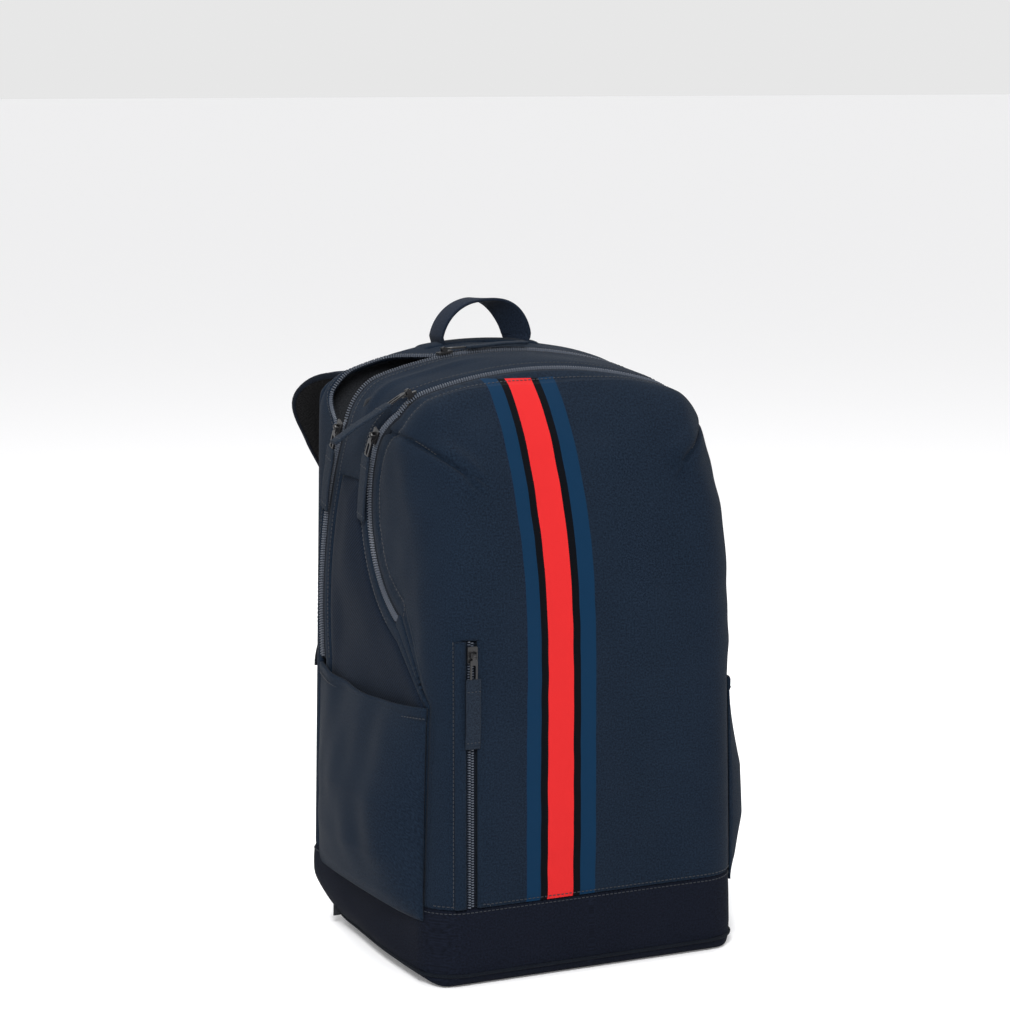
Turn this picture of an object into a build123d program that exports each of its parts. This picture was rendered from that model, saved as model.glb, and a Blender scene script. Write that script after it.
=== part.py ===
from build123d import *
from math import asin, cos, radians, sin, sqrt, tan
import os

# Racket backpack, standing on its base.  Millimetres, +X to the right when the front is seen,
# +Y towards the back panel and straps, +Z up.  The origin is the middle of the bottom of the base.

os.makedirs("parts", exist_ok=True)

# --- bag body -----------------------------------------------------------------------------
FRONT_Y = -122.0         # front panel
BACK_Y = 108.0           # outside of the back panel
FRONT_HALF = 131.0       # half width at the front corners, at the base
SIDE_FLARE = 0.0435      # half width gained per mm towards the back
SIDE_LEAN = 0.02         # half width lost per mm of height
CROWN_RADIUS = 333.0     # arch of the top, side to side
CROWN_Z = 449.0          # top of the arch at the main zip
CROWN_RISE = 0.096       # height the arch gains per mm towards the back
SHOULDER_RADIUS = 28.0
BASE_RADIUS = 15.0
BASE_CUT = 1.0           # trimmed off below the floor, which leaves one flat rest face
FRONT_CORNER = 30.0
BACK_CORNER = 20.0
CORNER_SLACK = 0.4
BOW_Z = 250.0            # the front leans back above this height
BOW_RADIUS = 300.0
BOW_ANGLE = 39.3
ROOF_Z = 466.0           # above the crown everywhere
TOP_BACK_RADIUS = 28.0
WALL = 4.0               # face fabric, foam and lining together
REACH = 8.0              # how far tool bodies run past the bag
WIDE = 200.0             # half width of a tool body that crosses the whole bag

# --- seams and zips -----------------------------------------------------------------------
BASE_TOP = 60.0
FLOOR_TOP = 8.0
FOLD_Z = 266.0           # where the front flap folds down
FOLD_GAP = 0.5
SIDE_TOP = 400.0         # side panels end in the top gusset
MAIN_ZIP_Y = -32.0       # main zip across the top
MAIN_C = (-94.6, 351.3)  # centre (y, z) of the main zip's curve down each side
MAIN_R = 92.8
RACKET_ZIP_Y = 45.0      # racket zip across the top
RACKET_C = (-196.0, 262.3)
RACKET_R = 281.0
RACKET_END_Z = 214.0
GUSSET_BACK = 96.0       # the back panel starts here
CHAIN_GAP = 0.8          # from the zip's middle line to the coil, room for the slider's post
COIL_EDGE = 3.0
TAPE_EDGE = 9.0
COIL_PROUD = 0.6
COIL_DEEP = 2.2
TAPE_TOP = 1.2
TAPE_DEEP = 2.0
MOUTH_Y = 88.0           # the racket zip stands open back to here
MOUTH_X = -54.0
MOUTH_Z = 406.0

# --- pockets ------------------------------------------------------------------------------
POCKET_ZIP_X = -99.0
POCKET_ZIP_BOTTOM = 64.0
POCKET_ZIP_TOP = 262.0
WELT = 5.0
WELT_PROUD = 1.0
SIDE_POCKET_Y = (-84.0, 74.0)
SIDE_POCKET_TOP = 208.0
SIDE_POCKET_WALL = 2.5
BULGE = ((60.5, 10.0), (75.0, 18.0), (105.0, 24.0), (155.0, 21.0), (208.0, 13.0))

# --- harness ------------------------------------------------------------------------------
HINGE_Y = 112.0          # strap loops swing about a line just behind the back panel
STRAP_TOP = (60.0, 428.0)
STRAP_FOOT = (100.0, 48.0)
STRAP_WIDTH = 66.0
STRAP_COVER = 5.0
STRAP_MESH = 6.0
WEBBING = 25.0
WEBBING_THICK = 1.6
HANDLE_Y = 84.0
HANDLE_HALF = 36.0
HANDLE_APEX = 493.0


def half_width(y, z):
    """Half width of the bag's flat side at depth y and height z."""
    return FRONT_HALF + SIDE_FLARE * (y - FRONT_Y) - SIDE_LEAN * z


def crown_z(y):
    """Height of the middle of the arched top at depth y."""
    return CROWN_Z + CROWN_RISE * (y - MAIN_ZIP_Y)


def top_z(x, y):
    """Height of the arched top at x, y."""
    return crown_z(y) - CROWN_RADIUS + sqrt(CROWN_RADIUS**2 - x**2)


def shoulder(y):
    """Corner (x, z) where the flat side would meet the arched top at depth y."""
    z = CROWN_Z
    for _ in range(8):
        x = half_width(y, z)
        z = top_z(x, y)
    return x, z


def body_block(inset):
    """The stuffed bag's outer form as a closed solid, moved inward by inset."""
    with BuildPart() as block:
        for y in (FRONT_Y - REACH, BACK_Y + REACH):
            x, z = shoulder(y)
            foot = half_width(y, 0)
            with BuildSketch(Plane.XZ.offset(-y)) as arch:
                with BuildLine():
                    Polyline((-x, z), (-foot, -BASE_CUT), (foot, -BASE_CUT), (x, z))
                    ThreePointArc((x, z), (0, crown_z(y)), (-x, z))
                make_face()
                fillet(arch.vertices().sort_by(Axis.Y)[-2:], radius=SHOULDER_RADIUS)
                fillet(arch.vertices().sort_by(Axis.Y)[:2], radius=BASE_RADIUS)
                if inset:
                    offset(amount=-inset)
        loft(ruled=True)
        with BuildSketch(Plane.YZ) as profile:
            with BuildLine():
                wall = Line((FRONT_Y, 0), (FRONT_Y, BOW_Z))
                bow = JernArc(wall @ 1, wall % 1, BOW_RADIUS, -BOW_ANGLE)
                brow = bow @ 1
                roof_y = brow.X + (ROOF_Z - brow.Y) * tan(radians(BOW_ANGLE))
                Polyline(brow, (roof_y, ROOF_Z), (BACK_Y, ROOF_Z), (BACK_Y, 0), wall @ 0)
            make_face()
            top_back = profile.vertices().group_by(Axis.X)[-1].sort_by(Axis.Y)[-1]
            fillet(top_back, radius=TOP_BACK_RADIUS)
            bottom_back = profile.vertices().group_by(Axis.X)[-1].sort_by(Axis.Y)[0]
            fillet(bottom_back, radius=BASE_RADIUS)
            if inset:
                offset(amount=-inset)
        extrude(amount=WIDE, both=True, mode=Mode.INTERSECT)
        for z in (-REACH, ROOF_Z + REACH):
            front_half = half_width(FRONT_Y, z) + CORNER_SLACK
            back_half = half_width(BACK_Y, z) + CORNER_SLACK
            with BuildSketch(Plane.XY.offset(z)) as footprint:
                with BuildLine():
                    Polyline((-front_half, FRONT_Y), (front_half, FRONT_Y), (back_half, BACK_Y),
                             (-back_half, BACK_Y), close=True)
                make_face()
                fillet(footprint.vertices().sort_by(Axis.Y)[:2], radius=FRONT_CORNER)
                fillet(footprint.vertices().sort_by(Axis.Y)[-2:], radius=BACK_CORNER)
                if inset:
                    offset(amount=-inset)
        loft(ruled=True, mode=Mode.INTERSECT)
    return block.part


def skin(outer, inner):
    """The bag's wall between two insets."""
    with BuildPart() as wall:
        add(body_block(outer))
        add(body_block(inner), mode=Mode.SUBTRACT)
    return wall.part


def slab(low, high):
    """Everything between two heights."""
    with BuildPart() as region:
        with BuildSketch(Plane.XY.offset(low)):
            Rectangle(2 * WIDE, 2 * WIDE)
        extrude(amount=high - low)
    return region.part


def chunk(x, y, z):
    """A plain box between pairs of x, y and z."""
    with BuildPart() as region:
        with BuildSketch(Plane.XY.offset(z[0])):
            with Locations(((x[0] + x[1]) / 2, (y[0] + y[1]) / 2)):
                Rectangle(x[1] - x[0], y[1] - y[0])
        extrude(amount=z[1] - z[0])
    return region.part


def zip_front(centre, radius, line_y, low, shift):
    """Everything in front of a zip and above low, with the zip's line moved back by shift."""
    with BuildPart() as region:
        with BuildSketch(Plane.YZ):
            with Locations(centre):
                Circle(radius + shift)
            with Locations((line_y + shift, centre[1])):
                Rectangle(2 * WIDE, WIDE, align=(Align.MAX, Align.MIN))
            with Locations((centre[0], 0)):
                Rectangle(WIDE, 2 * WIDE, align=(Align.MAX, Align.MIN))
            with Locations((0, low)):
                Rectangle(6 * WIDE, 2 * WIDE, align=(Align.CENTER, Align.MIN), mode=Mode.INTERSECT)
        extrude(amount=WIDE, both=True)
    return region.part


def main_front(shift):
    return zip_front(MAIN_C, MAIN_R, MAIN_ZIP_Y, FOLD_Z, shift)


def racket_front(shift):
    return zip_front(RACKET_C, RACKET_R, RACKET_ZIP_Y, RACKET_END_Z, shift)


def racket_behind(shift):
    """Everything behind the racket zip and above its ends."""
    with BuildPart() as region:
        add(slab(RACKET_END_Z, ROOF_Z + REACH))
        add(racket_front(shift), mode=Mode.SUBTRACT)
    return region.part


def strip(wall, front, near, far):
    """The part of a wall between two shifts of a zip's line."""
    with BuildPart() as band:
        add(wall)
        add(front(far), mode=Mode.INTERSECT)
        add(front(near), mode=Mode.SUBTRACT)
    return band.part


def side_point(y, z, proud):
    """A point off the left side of the bag."""
    return (-half_width(y, z) - proud, y, z)


def lie(start, end, outward):
    """Plane at start whose x axis runs to end and whose z axis leans outward."""
    along = (Vector(*end) - Vector(*start)).normalized()
    across = Vector(*outward).cross(along).normalized()
    return Plane(origin=start, x_dir=along, z_dir=along.cross(across))


finished = {}
shell = skin(0, WALL)
tape_wall = skin(TAPE_TOP, TAPE_DEEP)
coil_wall = skin(-COIL_PROUD, COIL_DEEP)
above_fold = slab(FOLD_Z + FOLD_GAP, ROOF_Z + REACH)
mouth = chunk((-WIDE, MOUTH_X), (0, MOUTH_Y), (MOUTH_Z, ROOF_Z + REACH))

# --- base ---------------------------------------------------------------------------------
with BuildPart() as bottom_panel:
    add(shell)
    add(slab(-REACH, FLOOR_TOP), mode=Mode.INTERSECT)
finished["bottom_panel"] = bottom_panel

with BuildPart() as base_band:
    add(shell)
    add(slab(FLOOR_TOP, BASE_TOP), mode=Mode.INTERSECT)
finished["base_band"] = base_band

PIPING = 1.8
with BuildPart() as base_piping:
    add(skin(-PIPING, 0))
    add(slab(FLOOR_TOP + 1, FLOOR_TOP + 4), mode=Mode.INTERSECT)
finished["base_piping"] = base_piping

# --- front --------------------------------------------------------------------------------
SEAM = ((-100.0, BASE_TOP), (-104.0, 212.0))
fold_seam_y = MAIN_C[0] + sqrt(MAIN_R**2 - (MAIN_C[1] - FOLD_Z)**2)
with BuildPart() as front_side:
    with BuildSketch(Plane.YZ):
        with BuildLine():
            seam = (SEAM[0], SEAM[1], (fold_seam_y, FOLD_Z))
            Polyline((-WIDE, BASE_TOP), *seam, (-WIDE, FOLD_Z), close=True)
        make_face()
    extrude(amount=WIDE, both=True)

zip_slot = chunk((POCKET_ZIP_X - TAPE_EDGE, POCKET_ZIP_X + TAPE_EDGE), (-WIDE, 0),
                 (POCKET_ZIP_BOTTOM, POCKET_ZIP_TOP))
with BuildPart() as front_panel:
    add(shell)
    add(front_side.part, mode=Mode.INTERSECT)
    add(zip_slot, mode=Mode.SUBTRACT)
finished["front_panel"] = front_panel

with BuildPart() as front_flap:
    add(shell)
    add(main_front(-TAPE_EDGE), mode=Mode.INTERSECT)
    add(above_fold, mode=Mode.INTERSECT)
finished["front_flap"] = front_flap

# --- main zip -----------------------------------------------------------------------------
with BuildPart() as flap_zip_tape:
    add(strip(tape_wall, main_front, -TAPE_EDGE, -COIL_EDGE))
    add(above_fold, mode=Mode.INTERSECT)
finished["flap_zip_tape"] = flap_zip_tape

with BuildPart() as flap_zip_coil:
    add(strip(coil_wall, main_front, -COIL_EDGE, -CHAIN_GAP))
    add(above_fold, mode=Mode.INTERSECT)
finished["flap_zip_coil"] = flap_zip_coil

with BuildPart() as body_zip_coil:
    add(strip(coil_wall, main_front, CHAIN_GAP, COIL_EDGE))
finished["body_zip_coil"] = body_zip_coil

with BuildPart() as body_zip_tape:
    add(strip(tape_wall, main_front, COIL_EDGE, TAPE_EDGE))
finished["body_zip_tape"] = body_zip_tape

# --- sides and top ------------------------------------------------------------------------
for side, reach in (("left", (-WIDE, 0)), ("right", (0, WIDE))):
    with BuildPart() as side_panel:
        add(shell)
        add(chunk(reach, (-WIDE, GUSSET_BACK), (BASE_TOP, SIDE_TOP)), mode=Mode.INTERSECT)
        add(front_side.part, mode=Mode.SUBTRACT)
        add(main_front(TAPE_EDGE), mode=Mode.SUBTRACT)
        add(racket_behind(-TAPE_EDGE), mode=Mode.SUBTRACT)
    finished[f"side_panel_{side}"] = side_panel

with BuildPart() as top_gusset:
    add(strip(shell, racket_front, -WIDE, -TAPE_EDGE))
    add(slab(SIDE_TOP, ROOF_Z), mode=Mode.INTERSECT)
    add(main_front(TAPE_EDGE), mode=Mode.SUBTRACT)
finished["top_gusset"] = top_gusset

# --- racket compartment -------------------------------------------------------------------
with BuildPart() as racket_gusset:
    add(shell)
    add(racket_behind(TAPE_EDGE), mode=Mode.INTERSECT)
    add(chunk((-WIDE, WIDE), (0, GUSSET_BACK), (0, ROOF_Z)), mode=Mode.INTERSECT)
    add(mouth, mode=Mode.SUBTRACT)
finished["racket_gusset"] = racket_gusset

with BuildPart() as back_panel:
    add(shell)
    add(chunk((-WIDE, WIDE), (GUSSET_BACK, WIDE), (BASE_TOP, ROOF_Z)), mode=Mode.INTERSECT)
finished["back_panel"] = back_panel

with BuildPart() as racket_tape_front:
    add(strip(tape_wall, racket_front, -TAPE_EDGE, -COIL_EDGE))
finished["racket_tape_front"] = racket_tape_front

with BuildPart() as racket_coil_front:
    add(strip(coil_wall, racket_front, -COIL_EDGE, -CHAIN_GAP))
finished["racket_coil_front"] = racket_coil_front

# Behind the open mouth the rear half of the zip lies back against the back panel.
rear_edge = MOUTH_Y - TAPE_EDGE
for name, wall, near, far in (("racket_tape_back", tape_wall, COIL_EDGE, TAPE_EDGE),
                              ("racket_coil_back", coil_wall, CHAIN_GAP, COIL_EDGE)):
    with BuildPart() as rear_half:
        add(wall)
        edge = chunk((-WIDE, MOUTH_X), (rear_edge + near, rear_edge + far), (MOUTH_Z, ROOF_Z))
        add(edge, mode=Mode.INTERSECT)
        add(strip(wall, racket_front, near, far))
        before_edge = chunk((-WIDE, MOUTH_X), (0, rear_edge + near), (MOUTH_Z, ROOF_Z))
        add(before_edge, mode=Mode.SUBTRACT)
    finished[name] = rear_half

SHEET = 2.5
LINING_STEP = 12.0
racket_end_y = RACKET_C[0] + sqrt(RACKET_R**2 - (RACKET_C[1] - RACKET_END_Z)**2)
inside = body_block(WALL)
with BuildPart() as divider_panel:
    add(inside)
    with BuildSketch(Plane.YZ):
        with Locations(RACKET_C):
            Circle(RACKET_R - LINING_STEP)
            Circle(RACKET_R - LINING_STEP - SHEET, mode=Mode.SUBTRACT)
        with Locations((0, RACKET_END_Z)):
            Rectangle(2 * WIDE, 2 * WIDE, align=(Align.MIN, Align.MIN), mode=Mode.INTERSECT)
        with Locations((racket_end_y - LINING_STEP, RACKET_END_Z)):
            Rectangle(SHEET, RACKET_END_Z, align=(Align.MAX, Align.MAX))
    extrude(amount=WIDE, both=True, mode=Mode.INTERSECT)
finished["divider_panel"] = divider_panel

SLEEVE_Y = 52.0
SLEEVE_TOP = 285.0
SLEEVE_HALF = 112.0
BINDING = 8.0
with BuildPart() as laptop_sleeve:
    with BuildSketch(Plane.XZ.offset(-SLEEVE_Y)):
        with Locations((0, FLOOR_TOP)):
            Rectangle(2 * SLEEVE_HALF, SLEEVE_TOP - FLOOR_TOP, align=(Align.CENTER, Align.MIN))
    extrude(amount=SHEET)
finished["laptop_sleeve"] = laptop_sleeve

with BuildPart() as sleeve_binding:
    with BuildSketch(Plane.XZ.offset(-SLEEVE_Y - 1)):
        with Locations((0, SLEEVE_TOP)):
            Rectangle(2 * SLEEVE_HALF, BINDING, align=(Align.CENTER, Align.MIN))
    extrude(amount=SHEET + 2)
finished["sleeve_binding"] = sleeve_binding

# --- back ---------------------------------------------------------------------------------
PAD_THICK = 10.0
PAD_ROUND = 4.0
PAD_CORNER = 18.0
for name, centres, size in (("back_pads", [(-48.0, 272.0), (48.0, 272.0)], (64.0, 244.0)),
                            ("lumbar_pad", [(0.0, 102.0)], (156.0, 72.0))):
    with BuildPart() as pad:
        with BuildSketch(Plane.XZ.offset(-BACK_Y - PAD_THICK)):
            with Locations(centres):
                RectangleRounded(size[0], size[1], PAD_CORNER)
        extrude(amount=PAD_THICK)
        fillet(pad.faces().group_by(Axis.Y)[-1].edges(), radius=PAD_ROUND)
    finished[name] = pad

PATCH = 1.5
PATCH_HALF = (52.0, 15.0)
with BuildPart() as handle_patch:
    add(skin(-PATCH, 0))
    patch_y = (HANDLE_Y - PATCH_HALF[1], HANDLE_Y + PATCH_HALF[1])
    add(chunk((-PATCH_HALF[0], PATCH_HALF[0]), patch_y, (SIDE_TOP, ROOF_Z)), mode=Mode.INTERSECT)
finished["handle_patch"] = handle_patch

# --- side pockets -------------------------------------------------------------------------
BINDING_RISE = 8.0


def pocket_form(side, trim, tip, levels):
    """Lens-shaped pocket bag on one flat side, its bulge less trim and its tips drawn in by tip."""
    y0, y1 = SIDE_POCKET_Y[0] + tip, SIDE_POCKET_Y[1] - tip
    middle = (y0 + y1) / 2
    with BuildPart() as form:
        for z, bulge in levels:
            with BuildSketch(Plane.XY.offset(z)):
                with BuildLine():
                    front = (side * half_width(y0, z), y0)
                    back = (side * half_width(y1, z), y1)
                    Line(back, front)
                    ThreePointArc(front, (side * (half_width(middle, z) + bulge - trim), middle), back)
                make_face()
        loft(ruled=True)
    return form.part


brim = BULGE[-1][1]
hollow = ((BULGE[0][0] + SIDE_POCKET_WALL, BULGE[0][1]),) + BULGE[1:] + ((SIDE_POCKET_TOP + 1, brim),)
rim = ((SIDE_POCKET_TOP, brim), (SIDE_POCKET_TOP + BINDING_RISE, brim))
for name, side in (("left", -1), ("right", 1)):
    with BuildPart() as pocket:
        add(pocket_form(side, 0, 0, BULGE))
        add(pocket_form(side, SIDE_POCKET_WALL, 2 * SIDE_POCKET_WALL, hollow), mode=Mode.SUBTRACT)
    finished[f"side_pocket_{name}"] = pocket
    with BuildPart() as binding:
        add(pocket_form(side, -1, 0, rim))
        add(pocket_form(side, SIDE_POCKET_WALL, 2 * SIDE_POCKET_WALL, rim), mode=Mode.SUBTRACT)
    finished[f"pocket_binding_{name}"] = binding

# --- front pocket -------------------------------------------------------------------------


def beside_pocket_zip(reach):
    """Tool body over the pocket zip, reach to each side of its middle line."""
    x = (POCKET_ZIP_X - reach, POCKET_ZIP_X + reach)
    return chunk(x, (-WIDE, 0), (POCKET_ZIP_BOTTOM, POCKET_ZIP_TOP))


with BuildPart() as pocket_zip_coil:
    add(coil_wall)
    add(beside_pocket_zip(COIL_EDGE), mode=Mode.INTERSECT)
    add(beside_pocket_zip(CHAIN_GAP), mode=Mode.SUBTRACT)
finished["pocket_zip_coil"] = pocket_zip_coil

with BuildPart() as pocket_zip_tape:
    add(tape_wall)
    add(beside_pocket_zip(TAPE_EDGE), mode=Mode.INTERSECT)
    add(beside_pocket_zip(COIL_EDGE), mode=Mode.SUBTRACT)
finished["pocket_zip_tape"] = pocket_zip_tape

with BuildPart() as pocket_zip_welt:
    add(skin(-WELT_PROUD, 0))
    add(beside_pocket_zip(TAPE_EDGE + WELT), mode=Mode.INTERSECT)
    add(beside_pocket_zip(TAPE_EDGE), mode=Mode.SUBTRACT)
finished["pocket_zip_welt"] = pocket_zip_welt

POUCH_X = (-86.0, 84.0)
POUCH_Z = (66.0, 248.0)
POUCH_DEPTH = 14.0
LINING = 1.0
with BuildPart() as front_pocket_pouch:
    add(chunk(POUCH_X, (FRONT_Y + WALL, FRONT_Y + WALL + POUCH_DEPTH), POUCH_Z))
    opening = front_pocket_pouch.faces().sort_by(Axis.Y)[0]
    offset(amount=-LINING, openings=opening)
finished["front_pocket_pouch"] = front_pocket_pouch

# --- harness anchors ----------------------------------------------------------------------
ANCHOR = 2.0
STRAP_ANCHOR = (54.0, 20.0)
FOOT_ANCHOR = (13.0, 8.0, 26.0)  # half width, half height, height of the triangle's point below
with BuildPart() as strap_anchors:
    with BuildSketch(Plane.XZ.offset(-BACK_Y - ANCHOR)):
        with Locations((-STRAP_TOP[0], STRAP_TOP[1]), (STRAP_TOP[0], STRAP_TOP[1])):
            Rectangle(STRAP_ANCHOR[0], STRAP_ANCHOR[1])
    extrude(amount=ANCHOR)
finished["strap_anchors"] = strap_anchors

with BuildPart() as webbing_anchors:
    with BuildSketch(Plane.XZ.offset(-BACK_Y - ANCHOR)):
        across, up, point = FOOT_ANCHOR
        kite = ((across, up), (-across, up), (-across, -up), (0, -point), (across, -up))
        with Locations((-STRAP_FOOT[0], STRAP_FOOT[1]), (STRAP_FOOT[0], STRAP_FOOT[1])):
            Polygon(*kite, align=None)
    extrude(amount=ANCHOR)
finished["webbing_anchors"] = webbing_anchors

# --- shoulder straps ----------------------------------------------------------------------
STRAP_RISE = 22.0        # the strap leaves the back panel straight, then turns down
STRAP_TURN = 34.0
STRAP_SWEEP = 380.0
PAD_START = 12.5
TONGUE_START = 5.5
TONGUE = 40.0
LAYER_GAP = 0.3
LOCK_LENGTH = 26.0
LOCK_WIDTH = 40.0
LOCK_THICK = 6.0
WEBBING_END = (376.0, 4.4)
TAIL = 92.0
for name, side in (("left", -1), ("right", 1)):
    top = Vector(side * STRAP_TOP[0], HINGE_Y, STRAP_TOP[1])
    foot = Vector(side * STRAP_FOOT[0], HINGE_Y, STRAP_FOOT[1])
    down = (foot - top).normalized()
    loop_plane = Plane(origin=top, x_dir=down, z_dir=down.cross(Vector(0, 1, 0)))
    with BuildLine(loop_plane) as route:
        rise = Line((0, PAD_START), (0, STRAP_RISE))
        turn = JernArc(rise @ 1, rise % 1, STRAP_TURN, -75)
        reach = JernArc(turn @ 1, turn % 1, STRAP_SWEEP, -33)
    start = Plane(origin=rise @ 0, x_dir=-down, z_dir=rise % 0)
    with BuildPart() as strap_cover:
        with BuildSketch(start):
            with Locations((LAYER_GAP, 0)):
                Rectangle(STRAP_COVER, STRAP_WIDTH, align=(Align.MIN, Align.CENTER))
        sweep(path=route.wire())
        with BuildSketch(start.offset(TONGUE_START - PAD_START)):
            with Locations((LAYER_GAP, 0)):
                Rectangle(STRAP_COVER, TONGUE, align=(Align.MIN, Align.CENTER))
        extrude(amount=PAD_START - TONGUE_START)
    finished[f"strap_cover_{name}"] = strap_cover

    with BuildPart() as strap_mesh:
        with BuildSketch(start):
            Rectangle(STRAP_MESH, STRAP_WIDTH, align=(Align.MAX, Align.CENTER))
        sweep(path=route.wire())
    finished[f"strap_mesh_{name}"] = strap_mesh

    pad_end = reach @ 1
    heading = reach % 1
    lock_plane = Plane(origin=pad_end, x_dir=heading, z_dir=heading.cross(loop_plane.z_dir) * -1)
    with BuildPart() as ladder_lock:
        with BuildSketch(lock_plane):
            with Locations((LOCK_LENGTH / 2, 0)):
                RectangleRounded(LOCK_LENGTH, LOCK_WIDTH, 3)
            with Locations((8, 0), (18, 0)):
                Rectangle(4, WEBBING + 2, mode=Mode.SUBTRACT)
        extrude(amount=LOCK_THICK / 2, both=True)
    finished[f"ladder_lock_{name}"] = ladder_lock

    lock_end = pad_end + heading * (LOCK_LENGTH + LAYER_GAP)
    webbing_end = loop_plane.from_local_coords(Vector(*WEBBING_END))
    tail_start = pad_end + heading * 14 + lock_plane.z_dir * (LOCK_THICK / 2 + 1)
    with BuildPart() as strap_webbing:
        with BuildSketch(lie(lock_end, webbing_end, lock_plane.z_dir)):
            Rectangle((webbing_end - lock_end).length, WEBBING, align=(Align.MIN, Align.CENTER))
        extrude(amount=WEBBING_THICK / 2, both=True)
        with BuildSketch(lie(tail_start, tail_start - Vector(0, -6, TAIL), lock_plane.z_dir)):
            Rectangle(TAIL, WEBBING, align=(Align.MIN, Align.CENTER))
        extrude(amount=WEBBING_THICK / 2, both=True)
    finished[f"strap_webbing_{name}"] = strap_webbing

# --- grab handle --------------------------------------------------------------------------
HANDLE_GAP = 6.0
HANDLE_THICK = 2.4
handle_foot = top_z(HANDLE_HALF, HANDLE_Y) + HANDLE_GAP
handle_rise = HANDLE_APEX - handle_foot
handle_radius = (HANDLE_HALF**2 + handle_rise**2) / (2 * handle_rise)
with BuildPart() as grab_handle:
    with BuildSketch(Plane.XZ.offset(-HANDLE_Y)):
        with Locations((0, handle_foot + handle_rise - handle_radius)):
            Circle(handle_radius)
            Circle(handle_radius - HANDLE_THICK, mode=Mode.SUBTRACT)
        with Locations((0, handle_foot)):
            Rectangle(4 * HANDLE_HALF, 4 * HANDLE_HALF, align=(Align.CENTER, Align.MIN), mode=Mode.INTERSECT)
    extrude(amount=WEBBING / 2, both=True)
finished["grab_handle"] = grab_handle

# --- sliders and their pulls --------------------------------------------------------------
SLIDER_HALF = 6.0
PLATE_HALF = 4.0
UPPER_PLATE = (1.5, 2.9)
LOWER_PLATE = (-4.6, -3.1)
POST_LENGTH = 5.0
POST_THICK = 0.8
PIN_HEIGHT = 5.0
PIN_RADIUS = 0.65
PIN_PLAY = 0.08
EAR_HALF = 2.0
EAR_THICK = 0.8
EYE_HALF = 1.2
EYE_RADIUS = 1.6
EYE_PLAY = 0.4
LINK_LENGTH = 22.0
LINK_WIDTH = 6.0
LINK_THICK = 1.2
TAB_LENGTH = 48.0
TAB_WIDTH = 10.0
TAB_THICK = 1.6


def circle_seat(centre, radius, angle):
    """Seat of a slider on a side zip, its x axis pointing down the chain."""
    y = centre[0] + radius * cos(radians(angle))
    z = centre[1] + radius * sin(radians(angle))
    down_y, down_z = sin(radians(angle)), -cos(radians(angle))
    down_x = SIDE_LEAN * down_z - SIDE_FLARE * down_y
    outward = Vector(-1, -SIDE_FLARE, SIDE_LEAN)
    return Plane(origin=side_point(y, z, 0), x_dir=(down_x, down_y, down_z), z_dir=outward.normalized())


def crown_seat(x, y, way):
    """Seat of a slider on a zip across the top, its x axis pointing left or right."""
    tilt = asin(x / CROWN_RADIUS)
    return Plane(origin=(x, y, top_z(x, y)), x_dir=(way * cos(tilt), 0, -way * sin(tilt)),
                 z_dir=(sin(tilt), 0, cos(tilt)))


def slider_body(seat, cover):
    """Plates above and below the chain joined by a post between its halves, and the pull's pin."""
    middle = (cover[0] + cover[1]) / 2
    with BuildPart() as slider:
        with BuildSketch(seat.offset(UPPER_PLATE[0])):
            with Locations((0, middle)):
                RectangleRounded(2 * SLIDER_HALF, cover[1] - cover[0], 1)
        extrude(amount=UPPER_PLATE[1] - UPPER_PLATE[0])
        with BuildSketch(seat.offset(LOWER_PLATE[0])):
            RectangleRounded(2 * SLIDER_HALF, 2 * PLATE_HALF, 1)
        extrude(amount=LOWER_PLATE[1] - LOWER_PLATE[0])
        with BuildSketch(seat.offset(LOWER_PLATE[0])):
            Rectangle(POST_LENGTH, POST_THICK)
        extrude(amount=UPPER_PLATE[1] - LOWER_PLATE[0])
        ear_y = EYE_HALF + EYE_PLAY + EAR_THICK / 2
        with BuildSketch(seat.offset(UPPER_PLATE[0])):
            with Locations((0, middle - ear_y), (0, middle + ear_y)):
                Rectangle(2 * EAR_HALF, EAR_THICK)
        extrude(amount=PIN_HEIGHT + PIN_RADIUS + EAR_THICK / 2 - UPPER_PLATE[0])
        pin_at = seat.from_local_coords((0, middle, PIN_HEIGHT))
        pin_plane = Plane(origin=pin_at, x_dir=seat.x_dir, z_dir=seat.y_dir)
        with BuildSketch(pin_plane):
            Circle(PIN_RADIUS)
        extrude(amount=ear_y, both=True)
    return slider


def pull_plane(seat, cover, droop):
    """Plane on the pull's pin, its x axis along the pull and its z axis outward."""
    x = seat.x_dir * cos(radians(droop)) - seat.z_dir * sin(radians(droop))
    z = seat.x_dir * sin(radians(droop)) + seat.z_dir * cos(radians(droop))
    pin_at = seat.from_local_coords((0, (cover[0] + cover[1]) / 2, PIN_HEIGHT))
    return Plane(origin=pin_at, x_dir=x, z_dir=z)


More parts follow.
